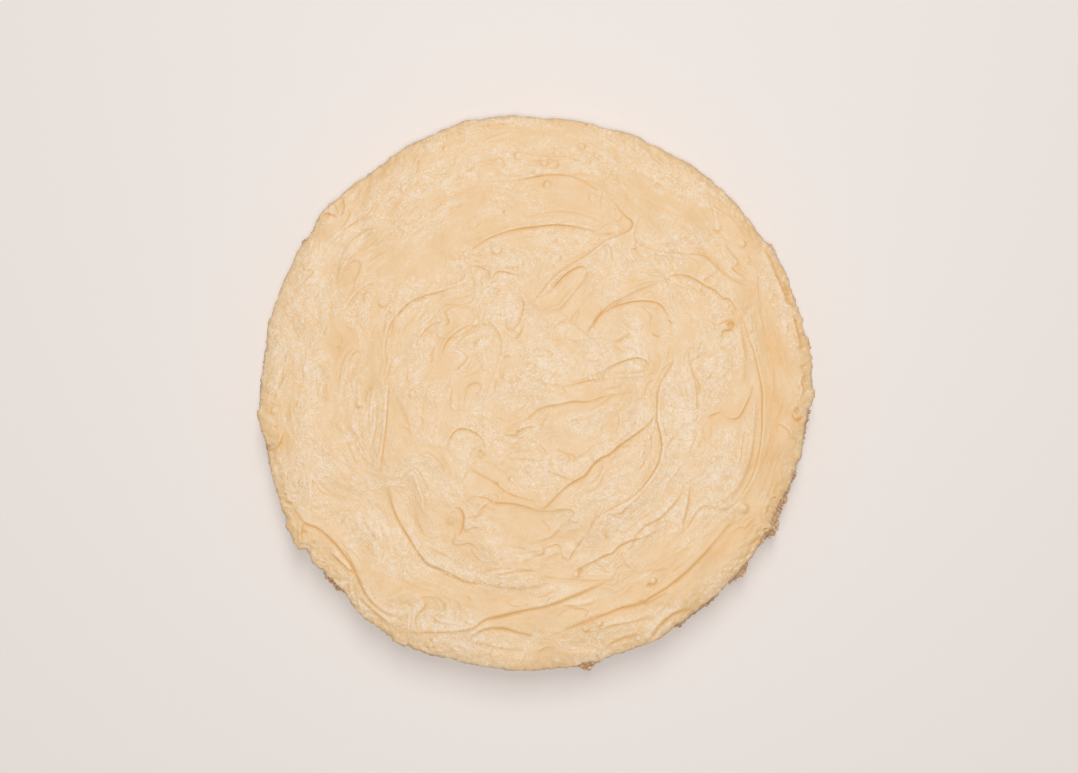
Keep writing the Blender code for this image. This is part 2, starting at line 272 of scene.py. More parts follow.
# Lines that the spatula left, in mm. lee is the side of the steep face: 1 left of the way, -1 right.
STROKES = listed(
    Stroke,
    # Upper right
    (((-16, 97), (-5, 98), (8, 100), (20, 98.5), (31, 92)), 0.6, 3.5, -1, 0.7, 8),
    (((31, 90), (36, 88.5), (41, 82), (45, 78.5), (44, 75), (39, 72.5), (33, 70), (25, 64), (17, 59),
      (10, 54), (3, 46), (-1, 40)), 0.75, 3.0, -1, 0.75, 6),
    (((34, 68.5), (27, 64), (19, 60.5), (11, 55), (4, 48), (0, 42)), 0.35, 1.8, 1, 0.35, 3),
    (((-4, 80.5), (8, 83), (16, 83), (25, 81), (31, 78)), 0.45, 2.6, -1, 0.45, 6),
    (((-29, 65.5), (-20, 71), (-10, 74.5), (0, 76), (10, 77), (20, 76), (30, 73.5)),
      0.9, 4.5, -1, 0.95, 8),
    (((31, 73), (30, 69), (24, 64.5), (16, 61), (9, 57)), 0.3, 2.0, -1, 0.35, 4),
    (((9, 48), (11.5, 51), (15, 54.5), (19, 57), (22, 58), (24.3, 57)), 0.7, 2.4, -1, 1.0, 4),
    (((24.3, 57), (24.6, 54), (21, 49), (16, 43), (11, 38)), 0.35, 2.4, 1, 0.45, 5),
    (((51, 82), (48, 79), (46.5, 74), (47, 70), (51, 67), (58, 65), (68, 64), (78, 63), (84, 58),
      (90, 53), (96, 50), (103, 50)), 0.55, 3.6, 1, 0.55, 8),
    (((88, 68), (92, 63), (94, 60), (91.5, 57), (95, 54.5), (97, 52.5)), 0.4, 1.8, 1, 0.6, 3),
    (((24, 27), (29, 33.5), (33, 38.5), (40, 43), (48, 47), (57, 50.5), (61, 52)), 0.5, 4.0, -1, 0.35, 7),
    (((60, 51.5), (64, 54), (70, 53.8), (75, 51.5), (78, 49.5), (83, 47), (86.5, 43.5), (89.5, 43),
      (92, 39.5), (94, 34)), 0.8, 3.6, -1, 0.85, 7),
    (((33, 39), (36, 41.5), (41, 43)), 0.4, 1.8, -1, 0.6, 3),
    (((32, 36.5), (36, 39), (41, 40.8), (47, 42), (53, 42), (58, 40.5), (61, 36.5), (62.3, 34.5)),
      0.75, 3.2, -1, 0.85, 6),
    (((61.3, 34), (62.5, 32.8), (63.7, 31.6)), 0.3, 1.5, -1, 0.7, 2),
    (((25, 28.5), (27, 31), (29.5, 35), (33, 38)), 0.5, 2.2, -1, 0.7, 4),
    (((16, 5), (24, 6.5), (31, 9.5), (36, 12), (40, 13.5)), 0.45, 2.4, -1, 0.5, 4),
    (((33, 11), (37, 12.8), (41, 14.5), (47, 16), (51, 15), (53, 12.5), (52, 11)),
      0.45, 1.8, -1, 0.85, 3),
    (((53, 13.5), (51.5, 10.8), (47, 9.5), (41, 9.2), (36, 9.4)), 0.35, 1.6, -1, 0.7, 3),
    (((14, 3), (22, 4.8), (29, 6.3), (35, 6.5)), 0.4, 2.2, -1, 0.5, 5),
    (((33, 2), (37, 2.6), (40, 2.8)), 0.3, 1.6, -1, 0.7, 2),
    (((36, 23.5), (40, 24.5), (43.5, 27), (42.5, 29), (41, 29)), 0.35, 2.0, -1, 0.45, 3),
    (((54, 27.5), (56, 26.3), (58, 25.8)), 0.4, 1.6, -1, 0.8, 2),
    (((64.5, 19), (63.5, 14), (60.5, 9), (58, 4.5), (56.8, 0), (56.5, -6), (56.5, -13), (58, -19),
      (58.5, -26), (57, -32), (54, -37.5), (49, -44), (44, -48.5), (38, -51.5), (31, -55.5), (28, -58),
      (26, -62), (24, -65)), 0.85, 3.4, -1, 0.9, 8),
    (((61.7, 21), (61.8, 18), (61, 15)), 0.3, 1.5, 1, 0.5, 2),
    (((73, 22), (71, 19.5), (71.5, 14), (73.5, 7), (75, 1), (75, -6), (74.8, -14)), 0.5, 3.0, 1, 0.5, 7),
    (((81, 33), (84, 31), (87, 32.6), (90, 33.6), (91.8, 31.6), (90, 29), (87, 28.4), (86.3, 25)),
      0.8, 1.9, 1, 1.0, 3),
    (((92, 41), (95, 36), (98, 27), (101, 18), (103.5, 7), (104.5, 0), (104.5, -8), (104.5, -16),
      (103.5, -25), (101.5, -34), (98, -42), (92, -51), (86, -57)), 0.9, 3.6, -1, 0.75, 7),
    (((93, 38), (96, 27), (97.5, 16), (97, 6)), 0.25, 2.4, 1, 0.2, 6),
    (((109, 59), (111, 55), (113, 50.5), (115, 46), (116.5, 41.5), (118.5, 40)), 0.7, 2.0, 1, 0.95, 3),
    (((106, 66), (108.5, 62), (110, 58), (112, 53)), 0.4, 1.6, 1, 0.6, 3),
    (((119, 36), (120.5, 31), (122, 25), (122.8, 21)), 0.6, 1.5, 1, 1.0, 2),
    (((114.5, 52), (116.5, 47), (117, 43.5), (119.5, 39)), 0.5, 1.4, 1, 0.8, 2),
    (((124.5, 9), (123, 5), (124, 1.5), (122.6, -2)), 0.6, 1.2, 1, 0.9, 2),
    (((43, 91), (52, 88), (61, 84), (72, 79), (80, 73)), 0.25, 3.0, -1, 0.2, 12),
    (((36, 104), (48, 101), (58, 95), (70, 88)), 0.2, 3.0, -1, 0.15, 12),
    # Upper left
    (((-32, 100.5), (-27, 103.5), (-21, 105), (-16, 105.5)), 0.3, 2.2, -1, 0.35, 4),
    (((-29.5, 58.4), (-25, 58), (-21, 56), (-19.7, 53), (-19, 50.8)), 0.4, 2.2, -1, 0.6, 4),
    (((-18.6, 51), (-17.5, 55), (-13.5, 55.6), (-10, 54.6), (-6, 54)), 0.6, 1.8, -1, 0.8, 4),
    (((-16, 57), (-12, 57.4), (-8, 57.8), (-5.5, 59)), 0.4, 1.6, -1, 0.55, 3),
    (((-7, 62.5), (-5, 60), (-5, 57.5), (-2, 53), (-1, 49)), 0.35, 2.0, 1, 0.4, 3),
    (((-6, 46), (-4.8, 42), (-5, 37), (-7, 32), (-10.5, 28.6), (-12.2, 30.5), (-12.8, 34)),
      0.55, 2.2, -1, 0.6, 4),
    (((-4.5, 31), (-6, 27.5), (-9, 24)), 0.45, 2.4, 1, 0.45, 4),
    (((-27, 50), (-35, 49), (-43, 46.3), (-50, 44.4), (-56, 41.8), (-60.5, 37.5), (-65, 32), (-67, 26),
      (-67.8, 20), (-67.2, 14), (-68.5, 8), (-68, 2)), 0.7, 3.0, 1, 0.6, 8),
    (((-61, 51), (-63, 45), (-66, 39), (-69, 33)), 0.35, 2.4, 1, 0.35, 6),
    (((-55, 19), (-53, 24), (-49.5, 28.8), (-45, 32), (-39, 34)), 0.55, 2.6, -1, 0.55, 6),
    (((-45, 36), (-43, 38.8), (-39, 40.5), (-34, 40.2), (-29, 39.3)), 0.4, 2.2, -1, 0.45, 4),
    (((-41.8, 17), (-40.5, 22), (-37, 26.4), (-33, 29.3), (-28.5, 31), (-25, 30)),
      0.75, 2.8, -1, 0.75, 6),
    (((-25, 31), (-20, 31.5), (-16.5, 28), (-15, 24), (-15, 19), (-17, 13), (-18.5, 8)),
      0.4, 2.6, -1, 0.4, 5),
    (((-28, 20), (-26, 24), (-22, 26.2), (-17.5, 26.2)), 0.35, 2.2, -1, 0.4, 4),
    (((-38, 9.5), (-35, 11), (-31, 15), (-29.5, 17)), 0.4, 2.6, 1, 0.4, 6),
    (((-13.3, 15.8), (-12, 17.2), (-10.7, 16)), 0.3, 1.4, -1, 0.7, 2),
    (((-14.5, 5), (-14, 9), (-13, 12)), 0.3, 1.6, 1, 0.45, 3),
    (((-17.5, 0), (-17.6, 4), (-16.6, 6.6)), 0.35, 1.6, 1, 0.5, 3),
    (((-87.5, 35), (-84.5, 41), (-80, 46.5), (-75, 50), (-71.5, 50.4)), 0.45, 2.4, -1, 0.5, 6),
    (((-85.5, 31), (-83, 38), (-78, 44)), 0.35, 2.2, -1, 0.35, 6),
    (((-77, 19.5), (-81, 19), (-84, 15.5), (-85.5, 8), (-87, 1), (-88, -4)), 0.3, 3.0, 1, 0.3, 8),
    (((-82, 50), (-76, 57), (-68, 63), (-58, 70), (-48, 78)), 0.25, 3.5, -1, 0.2, 13),
    (((-63, 75), (-50, 82), (-38, 90), (-24, 95)), 0.25, 3.5, -1, 0.2, 14),
    (((-54, 103.5), (-52.5, 106), (-49.5, 107.8)), 0.3, 1.4, -1, 0.45, 2),
    (((-56, 94), (-53.5, 96.5), (-51, 97.3)), 0.25, 1.4, -1, 0.35, 2),
    (((-98, 80.5), (-95, 82.3), (-92.5, 81.7), (-90, 80.7)), 0.7, 1.6, -1, 1.0, 2),
    (((-88.3, 90), (-87, 87), (-87.2, 83.5), (-88.5, 80.8)), 0.7, 1.8, -1, 0.7, 2),
    (((-42, 116.5), (-40, 118.3), (-37, 119)), 0.4, 1.6, -1, 0.8, 2),
    (((-30, 121.3), (-20, 123), (-8, 124)), 0.3, 1.4, -1, 0.45, 3),
    (((-118.8, 24.5), (-118, 26.5), (-117, 27.5)), 0.3, 1.2, -1, 0.8, 2),
    # Lower left
    (((-66, 5), (-66.6, -4), (-67.2, -13), (-68.2, -22), (-69.5, -31), (-70.6, -38)),
      0.8, 3.2, 1, 0.75, 8),
    (((-66.6, -43), (-65, -51), (-62, -58.5), (-57.5, -66), (-53, -73), (-48.5, -78.5), (-42, -81),
      (-36, -84), (-30.5, -86.6), (-24, -87.2)), 0.95, 3.6, -1, 0.75, 9),
    (((-27, -84), (-23, -87), (-15, -89), (-5, -89.4), (4, -88.5)), 0.35, 2.4, -1, 0.35, 5),
    (((-72, -3), (-71.7, -10), (-72.4, -18), (-74, -24), (-76, -27)), 0.6, 2.4, 1, 0.6, 6),
    (((-63, -1), (-58, -12), (-56, -24)), 0.3, 2.6, -1, 0.2, 10),
    (((-84, -14), (-81, -25), (-77, -31), (-72.5, -34)), 0.3, 2.6, -1, 0.25, 9),
    (((-39.8, -26), (-37.8, -20), (-34.3, -16.6), (-30, -16.9), (-26, -18.6), (-23.2, -22), (-22, -26)),
      0.75, 2.6, -1, 0.75, 5),
    (((-25.9, -27.2), (-24.2, -26.2), (-22.8, -27.8)), 0.5, 1.2, -1, 1.0, 1),
    (((-30, -33), (-31, -37.5), (-33, -41)), 0.4, 2.6, 1, 0.35, 4),
    (((-57, -34.5), (-54, -37), (-52, -42), (-50, -48), (-49.3, -55)), 0.55, 2.6, 1, 0.5, 6),
    (((-51.5, -53), (-50, -60), (-47.5, -67)), 0.4, 2.4, 1, 0.35, 5),
    (((-29, -35), (-23, -38), (-18, -41), (-13, -45), (-6, -48), (2, -50)), 0.6, 3.8, -1, 0.5, 7),
    (((-31.5, -49.5), (-27, -47.8), (-22, -48), (-18, -50.2), (-11, -50.6), (-4, -52), (2, -54)),
      0.6, 2.6, -1, 0.6, 5),
    (((-21, -46), (-17, -46.5), (-16.5, -49), (-19, -50)), 0.35, 1.6, -1, 0.45, 3),
    (((-25.5, -54.8), (-23, -52.3), (-20.5, -50.6)), 0.4, 1.6, -1, 0.6, 3),
    (((-36.5, -53.2), (-34, -52.8), (-32.6, -54.5), (-32, -58), (-32.8, -62), (-34.5, -65.3),
      (-36.5, -65.5)), 0.7, 2.0, -1, 0.75, 3),
    (((-31.5, -57), (-26, -56.5), (-22, -53)), 0.35, 2.0, -1, 0.4, 3),
    (((-26, -83), (-21, -81.3), (-14, -80.5), (-4, -81), (3, -82)), 0.4, 2.8, -1, 0.4, 5),
    (((-58, -109.6), (-45, -109.8), (-34, -109.2), (-28, -108), (-22, -104), (-14, -102), (-5, -99.8),
      (4, -98), (14, -95), (24, -91), (33, -87)), 0.85, 3.6, -1, 0.65, 8),
    (((-29.5, -114), (-27.5, -111), (-23, -108.6), (-18, -107.7), (-13, -107.9), (-8, -109.5),
      (0, -111.4)), 0.8, 3.0, -1, 0.75, 6),
    (((-29, -114.2), (-23, -115.3), (-14, -117.2), (-4, -118)), 0.35, 2.0, -1, 0.4, 4),
    (((-112, -50.5), (-108.5, -55), (-105, -59.5), (-99, -62), (-94, -66), (-88.5, -72), (-83.5, -79),
      (-80, -86), (-77, -92), (-72.5, -97.5), (-66, -101.5), (-59, -103)), 0.8, 4.2, -1, 0.7, 7),
    (((-93, -73.5), (-89, -77), (-85.8, -80), (-84, -82)), 0.5, 2.0, -1, 0.8, 3),
    (((-86.5, -72), (-83.5, -77.5), (-81, -82)), 0.4, 2.0, -1, 0.5, 3),
    (((-80, -92.5), (-76.5, -97), (-71, -102), (-64.5, -107)), 0.7, 2.4, -1, 0.6, 4),
    (((-105.3, -59), (-106.2, -64), (-105.6, -69)), 0.8, 1.6, 1, 0.9, 2),
    (((-109.3, -57.5), (-108.4, -62), (-108.8, -66)), 0.4, 1.4, 1, 0.5, 2),
    (((-114.2, -49.6), (-112, -50.1), (-110, -50.2)), 0.5, 1.4, -1, 0.8, 2),
    (((-114.4, -17.5), (-115.4, -21.5), (-117.5, -24.8), (-121, -26)), 1.0, 2.2, 1, 1.0, 2),
    (((-117.5, -3), (-116, -9), (-114.8, -15)), 0.6, 2.2, 1, 0.45, 4),
    (((-113, -36), (-112.6, -44), (-110.5, -50)), 0.5, 2.0, 1, 0.5, 4),
    # Lower right
    (((-14, -19), (-9, -14.5), (-3, -12), (1, -8.5), (6, -6.2), (12, -5.3), (18, -4), (25, -4),
      (32, -1.8), (40, -0.3), (47, 0.6)), 0.6, 2.8, -1, 0.5, 7),
    (((-13, -19.3), (-9, -19.4), (-7, -18.3), (-4, -16), (1, -15.3)), 0.6, 1.9, -1, 0.75, 3),
    (((-8, -20), (-7.3, -18.6), (-5.8, -18.6)), 0.4, 1.2, -1, 0.8, 1),
    (((2, -20), (4, -15), (7, -9), (11, -6)), 0.25, 2.0, 1, 0.2, 6),
    (((-3, -21.5), (1, -22.3), (5, -26), (6.5, -28.3)), 0.35, 2.2, -1, 0.45, 4),
    (((38.5, -8), (39, -13), (38, -17), (35.5, -18.5)), 0.3, 4.2, -1, 0.3, 5),
    (((57, -7), (55.5, -11), (51, -15.8), (45, -20.4), (39, -24.5), (35.2, -28), (31, -30), (27, -33.5),
      (24, -37.6), (20, -40), (14.5, -43.5), (9, -49), (3.5, -54.5)), 0.9, 3.4, 1, 1.0, 7),
    (((33.5, -30), (35, -28.6), (36.5, -27)), 0.3, 1.2, 1, 0.8, 1),
    (((6, -35.7), (10, -37), (15, -39), (19, -40)), 0.35, 2.2, -1, 0.45, 4),
    (((0, -54), (8, -54.3), (16, -53.5), (18.5, -55.5), (16, -58.5), (22, -59.5)),
      0.35, 2.2, -1, 0.45, 4),
    (((31, -56), (36, -55.6), (39.5, -57.5), (37, -61)), 0.3, 2.0, -1, 0.45, 3),
    (((24, -65), (21, -69), (18, -73.5), (16, -77)), 0.55, 2.4, 1, 0.6, 4),
    (((5, -76), (9, -74.5), (13, -73.6)), 0.35, 2.6, -1, 0.4, 4),
    (((17.8, -83.5), (19, -81.5), (23, -79.6), (28, -77), (33, -74.4), (36.5, -73.3), (39, -70.5),
      (44, -68), (51, -66), (58, -62.5)), 0.75, 2.6, -1, 0.75, 5),
    (((3, -84), (12, -85), (20, -85.5), (30, -86), (38, -85)), 0.3, 2.0, -1, 0.4, 4),
    (((69, -42), (67.5, -47), (63.5, -52), (58.5, -57), (52, -60.5), (48, -64), (45.5, -68), (45.2, -72)),
      0.65, 2.8, 1, 0.6, 6),
    (((72.3, -41), (71.5, -46), (70.3, -54), (68.7, -60), (69, -64)), 0.65, 2.6, 1, 0.65, 6),
    (((60.5, -24.5), (63, -21.5), (66, -19)), 0.35, 2.4, -1, 0.4, 4),
    (((80, -11.2), (83, -9.6), (86.3, -8.8)), 0.4, 1.8, -1, 0.6, 4),
    (((87, -10.5), (90, -11.8), (93.5, -11.6), (95.6, -9), (97.5, -5), (99.5, -1), (100.5, 4)),
      0.6, 2.6, -1, 0.65, 5),
    (((76, -14), (77.4, -17), (76.6, -22), (73.5, -29)), 0.35, 4.0, 1, 0.35, 5),
    (((101, 0), (102, -6), (101.6, -14), (101, -22), (99.5, -31), (96, -40), (90.5, -47), (84, -50.5)),
      0.5, 3.0, 1, 0.4, 7),
    (((88, -55), (80, -61.5), (70, -70), (60, -77), (50, -83), (40, -87.5)), 0.55, 4.2, -1, 0.3, 9),
    (((71.5, -70), (67, -73), (63, -75)), 0.4, 2.0, 1, 0.6, 3),
    (((40.5, -74.5), (42.5, -78.5), (45, -80.8)), 0.35, 2.0, -1, 0.45, 3),
    (((0, -99.2), (9, -97), (18, -93), (26, -89.5), (35, -86)), 0.4, 3.0, -1, 0.4, 7),
    (((18, -98.8), (23, -99), (25.5, -100.2)), 0.35, 1.8, -1, 0.6, 3),
    (((8.3, -113), (9.5, -110.5), (13, -109), (18, -107), (22.5, -105), (28, -103), (34, -101),
      (41, -98.3), (47.5, -96.8), (54, -93.5), (62, -88.5), (70, -82), (78, -74), (85, -66), (92, -58)),
      0.8, 3.4, -1, 0.6, 8),
    (((8.3, -113), (12, -116.5), (18, -118), (25, -117)), 0.35, 2.4, 1, 0.35, 4),
    (((32.5, -117.5), (36.5, -114.3), (42, -112), (49, -110.4)), 0.55, 2.2, -1, 0.55, 4),
    (((52.5, -113.6), (55, -110.5), (58.5, -106), (63, -102), (68, -99.6), (72.8, -99.2)),
      0.8, 2.6, -1, 0.8, 4),
    (((30, -108.6), (37, -106.4), (45, -105), (55, -102)), 0.35, 2.2, -1, 0.45, 5),
    (((118.2, -7), (118.6, -10.5), (121, -12.4), (123.3, -10.5)), 0.8, 1.6, -1, 1.0, 2),
    (((112, -14), (116.5, -17), (117.6, -20.3), (120.5, -21)), 0.4, 1.8, -1, 0.6, 3),
    (((113.8, -42), (111.5, -45.5), (110, -49)), 0.5, 1.6, -1, 0.7, 2),
    (((109, -51.5), (107.5, -52.5), (107, -55)), 0.5, 1.4, 1, 0.9, 2),
    (((104, -65.3), (102, -67), (100.8, -69.5)), 0.5, 1.4, 1, 0.7, 2),
)

# Small blobs under the skin of the cream, in mm
BUMPS = listed(
    Spot,
    (-16, 105, 2.7, 0.8), (-7, 109, 1.8, 0.7), (5, 106, 1.9, 0.9), (2, 101.5, 1.8, 0.8),
    (6.3, 95.6, 1.8, 1.0), (22, 113, 1.7, 0.7), (29, 109, 1.4, 0.5), (12, 70, 1.6, 0.5),
    (-17, 66, 2.4, 0.8), (11, 62.3, 1.6, 0.5), (-40, 112, 1.5, 0.5), (-12.5, 83, 1.3, 0.6),
    (-69, 41.5, 2.0, 0.5), (-76, 45, 1.4, 0.4), (84, 76, 1.9, 0.7), (95.5, 68.5, 1.8, 0.6),
    (52, -20, 2.0, 0.5), (96, -52.6, 2.2, 1.3), (54.6, -86, 1.8, 1.2), (31, -119.5, 2.4, 1.0),
    (14, -30, 2.4, 0.5), (30, 37.5, 1.3, 0.6), (46, 67, 1.2, 0.6), (-24.2, -28.2, 1.3, 0.8),
    (19.5, -83, 1.6, 0.9), (-6, -19.5, 1.2, 0.7), (90, -84, 1.2, 0.4), (-10, -39.5, 1.4, 0.6),
    (30, -105.5, 1.6, 0.8), (24, -108, 1.4, 0.8), (28, -103.5, 1.3, 0.7), (51, -95, 1.4, 0.6),
    (-80, -5, 1.6, 0.5), (2.5, -72, 2.4, 0.7), (83, -31, 1.9, 0.4), (34, -65, 1.3, 0.6),
    (-38, -58.5, 1.6, 0.5), (-93, 84.5, 2.6, 0.8), (-119, -8, 1.6, 0.6),
)

# Holes where the cream tore, in mm
PITS = listed(
    Spot,
    (90.3, 31.4, 1.3, -1.3), (123, 20.6, 0.9, -1.0), (122, -12.3, 0.9, -1.2), (120.6, 33, 0.8, -1.0),
    (123.6, 12, 0.9, -1.0), (120.6, -8, 1.3, -0.9), (-118.4, -15.5, 0.6, -0.9), (-101, -68.4, 0.6, -1.0),
    (-96.5, -78, 0.7, -1.0), (-97.5, -79, 0.5, -0.8), (-47, -113.6, 0.7, -1.0), (-46, -117, 0.8, -0.9),
    (-49, -117, 0.6, -0.8), (-105, -63.6, 0.7, -0.9), (-17, -41.2, 0.8, -0.7), (-26, -0.3, 0.6, -0.4),
    (21.5, -81.5, 0.8, -0.9), (53, -88, 0.9, -0.8), (-7.5, -17.6, 1.0, -0.8), (107.8, -52, 0.7, -1.0),
    (110.2, -48, 0.6, -0.9), (106.5, -62.7, 0.9, -1.1), (103.2, -63.8, 0.6, -0.8),
    (-114, -46.5, 0.8, -0.9), (-110, -48.5, 0.6, -0.8), (24, 123, 0.6, -0.8), (12, 123.3, 0.6, -0.6),
    (33, 120, 0.5, -0.6), (-83.8, -81.8, 0.6, -0.8),
)

# Ovals where the cream is rough and pale with painted sheen (tone above 0) or pressed smooth and deeper in
# colour:
# middle, two half lengths in mm, the turn of the first in degrees, and the tone
TONES = listed(
    Zone,
    # Rough, with painted sheen: the rim
    (-114, 16, 8, 15, 0, 0.24), (-105, -26, 6, 20, 6, 0.17), (-101, -48, 6, 12, 20, 0.12),
    (-104, 46, 7, 18, -24, 0.12), (-88, 70, 16, 7, 48, 0.14), (-60, 94, 20, 7, 32, 0.08),
    (-27, 112, 14, 7, 10, 0.16), (-14, 100, 5, 12, 0, 0.1), (20, 104, 24, 6, -6, 0.03),
    (56, 104, 22, 6, -32, 0.02), (84, 88, 14, 5, -44, 0.03), (112, 34, 5, 16, 14, 0.1),
    (-70, -90, 16, 7, -38, 0.1), (-48, -104, 20, 7, -16, 0.24), (-14, -116, 14, 4, 0, 0.12),
    (24, -115, 12, 4, 4, 0.16), (60, -103, 12, 6, 30, 0.17), (88, -82, 12, 6, 44, 0.08),
    # Rough, with painted sheen: inside
    (-19, 44, 13, 8, 8, 0.17), (-48, 33, 14, 5, 56, 0.12), (-61, 10, 5, 13, 0, 0.12),
    (2, 14, 9, 15, 0, 0.17), (24, 18, 20, 7, 58, 0.17), (46, 24, 6, 13, 14, 0.17),
    (8, 66, 20, 5, 6, 0.14), (41, 59, 11, 8, 10, 0.12), (34, 49, 16, 5, 20, 0.08),
    (84, 13, 15, 9, 44, 0.22), (67, -8, 6, 12, 0, 0.27), (89, -33, 7, 15, -4, 0.2),
    (75, -54, 6, 14, -20, 0.15), (34, -45, 20, 6, 30, 0.18), (50, -29, 8, 8, 30, 0.1),
    (17, -28, 8, 12, 30, 0.12), (34, -11, 8, 7, 0, 0.07), (51, -12, 5, 9, 0, 0.08),
    (-4, -31, 13, 7, -20, 0.1), (-36, -27, 6, 9, 0, 0.09), (-70, -62, 11, 4, -42, 0.16),
    (-32, -78, 17, 5, -28, 0.13), (-42, -46, 8, 12, 0, 0.06), (48, -60, 12, 5, 30, 0.08),
    (-50, 52, 16, 5, 24, 0.06), (66, 28, 5, 10, 0, 0.06), (10, 44, 12, 6, 40, 0.07),
    (34, -76, 18, 4, 24, 0.06), (-16, 8, 6, 12, 0, 0.05), (-80, -8, 5, 14, 0, 0.04),
    # Pressed smooth
    (109.5, -4, 5, 28, 1, -0.6), (108, 24, 5, 14, 14, -0.4), (104, -38, 5, 16, -22, -0.32),
    (88, -66, 18, 5, 48, -0.3), (66, -81, 20, 8, 40, -0.34), (44, -97, 14, 4, 20, -0.34),
    (88, -11, 9, 5, 0, -0.26), (121, -12, 3, 5, 0, -0.2), (-117, -10, 5, 9, 0, -0.14),
    (-115, -22, 5, 4, 0, -0.2), (-104, -62, 5, 5, 30, -0.25), (42, -113, 9, 4, 10, -0.26),
    (-76, -78, 22, 6, -44, -0.16), (-38, -93, 24, 5, -8, -0.17), (6, -105, 28, 4, 0, -0.17),
    (-36, -62, 7, 6, 0, -0.18), (-22, -51, 14, 4, -4, -0.14), (8, -51, 12, 4, 44, -0.15),
    (20, -65, 6, 7, 0, -0.13), (22, -82, 6, 4, 0, -0.15), (-4, -64, 14, 7, 0, -0.08),
    (-6, -78, 12, 5, 0, -0.05), (-68, 24, 6, 14, -14, -0.15), (-86, 26, 9, 18, 0, -0.1),
    (-45, 12, 6, 7, 0, -0.12), (-71, -24, 5, 16, -8, -0.14), (-34, -18, 16, 4, -20, -0.08),
    (-8, -17, 5, 4, 0, -0.2), (0, 89, 34, 7, 0, -0.11), (2, 77, 32, 4, 4, -0.12),
    (-44, 68, 20, 6, 30, -0.08), (70, 81, 5, 5, 0, -0.16), (78, 56, 10, 6, -40, -0.13),
    (96, 48, 8, 6, -30, -0.12), (21, 58, 5, 5, 0, -0.12), (-14, 56, 9, 3, 0, -0.1),
    (27, 38, 8, 5, 50, -0.12), (52, 42, 14, 4, 0, -0.08), (60, 16, 4, 18, 0, -0.12),
    (40, 0, 11, 5, 0, -0.14), (91, 33, 6, 4, 0, -0.14), (74, 2, 3, 9, -14, -0.1),
    (-60, -40, 6, 16, 14, -0.05), (-86, -50, 8, 18, 14, -0.06), (-25, -27, 3, 6, 0, -0.1),
    (-26, 8, 6, 10, 0, -0.06), (46, -77, 16, 4, 34, -0.06), (60, 90, 18, 5, -34, -0.06),
    (-90, 0, 5, 14, 0, -0.04), (56, -22, 3, 12, -6, -0.08), (28, -34, 12, 3, 34, -0.08),
)


def linear(red, green, blue):
    """A colour seen as 0 to 255 for each channel, in the linear values that shaders take."""
    shares = (red / 255, green / 255, blue / 255)
    return tuple(
        share / 12.92 if share <= 0.04045 else ((share + 0.055) / 1.055) ** 2.4
        for share in shares
    ) + (1.0,)


def colour_setting(name, description, colour):
    return FloatVectorProperty(
        name=name, description=description, subtype="COLOR", size=4, min=0.0, max=1.0, default=colour
    )


def length_setting(name, description, default):
    return FloatProperty(name=name, description=description, default=default, unit="LENGTH")


def number_setting(name, description, default):
    return FloatProperty(name=name, description=description, default=default)


class CreamSettings(bpy.types.PropertyGroup):
    """Sizes and colours of the spread cream"""

    radius: length_setting("Radius", "Mean radius of the cream's torn outline", 126.6 * MM)
    thickness: length_setting("Thickness", "Height of the cream away from its edge", 6.2 * MM)
    rim: length_setting("Rim", "Height of the cream at its torn edge", 5.0 * MM)
    swell: length_setting("Swell", "Height of the broad waves on top", 0.9 * MM)
    ripple: length_setting("Ripple", "Height of the short ripples on top", 0.35 * MM)
    relief: number_setting("Relief", "Scale of the spatula's ridges", 1.0)
    contrast: number_setting("Contrast", "Scale of the pale and smooth fields", 0.52)
    middle: colour_setting("Middle tone", "Colour of most of the cream", linear(231, 197, 150))
    # The light tone is painted sheen: the gloss of rough flecks, glints and fields painted as paler colour
    light: colour_setting("Light tone", "Colour of the rough, pale flecks", linear(238, 217, 191))
    # The crease tone is mostly painted shade: in creases, furrows, slopes facing away from the light and
    # holes
    crease: colour_setting("Crease tone", "Colour deep in the creases", linear(229, 178, 110))
    roughness: number_setting("Roughness", "Roughness of the cream", 0.42)


class CrumbSettings(bpy.types.PropertyGroup):
    """Sizes and colours of the baked base and its crumbs"""

    radius: length_setting("Radius", "Mean radius of the baked base", 125.2 * MM)
    relief: length_setting("Relief", "Depth of the crumb's lumps and open pores", 0.9 * MM)
    crumbs: IntProperty(name="Crumbs", description="How many loose crumbs cling on", default=1400)
    seed: IntProperty(name="Seed", description="Seed of the crumbs' places", default=11)
    middle: colour_setting("Middle tone", "Colour of most of the crumb", linear(228, 184, 141))
    light: colour_setting("Light tone", "Colour of the dry raised crumb", linear(243, 208, 168))
    # The dark tone is painted shade in the pores, cracks and crevices
    dark: colour_setting("Dark tone", "Colour inside the pores", linear(191, 141, 98))


class StageSettings(bpy.types.PropertyGroup):
    """The floor, the light and the camera"""

    floor: colour_setting("Floor", "Colour of the pale floor", linear(236, 229, 224))
    overhead_power: number_setting("Overhead power", "Power of the light overhead in watts", 24.0)
    overhead_side: length_setting("Overhead side", "Side of the light overhead", 0.5)
    key_power: number_setting("Key power", "Power of the soft light in watts", 16.5)
    key_width: length_setting("Key width", "Width of the soft light", 0.5)
    key_depth: length_setting("Key depth", "Length of the soft light towards the middle", 1.3)
    fill: number_setting("Fill", "Strength of the light from all round", 0.2)
    eye: length_setting("Eye height", "Height of the camera over the cream", 0.963)
    lens: number_setting("Lens", "Focal length in millimetres", 70.0)


def table_row(table, cell):
    """An entry of a shuffled table of 256 numbers for each cell of a 3-D grid."""
    row = table[cell[:, 0] & 255]
    row = table[(row + cell[:, 1]) & 255]
    return table[(row + cell[:, 2]) & 255]


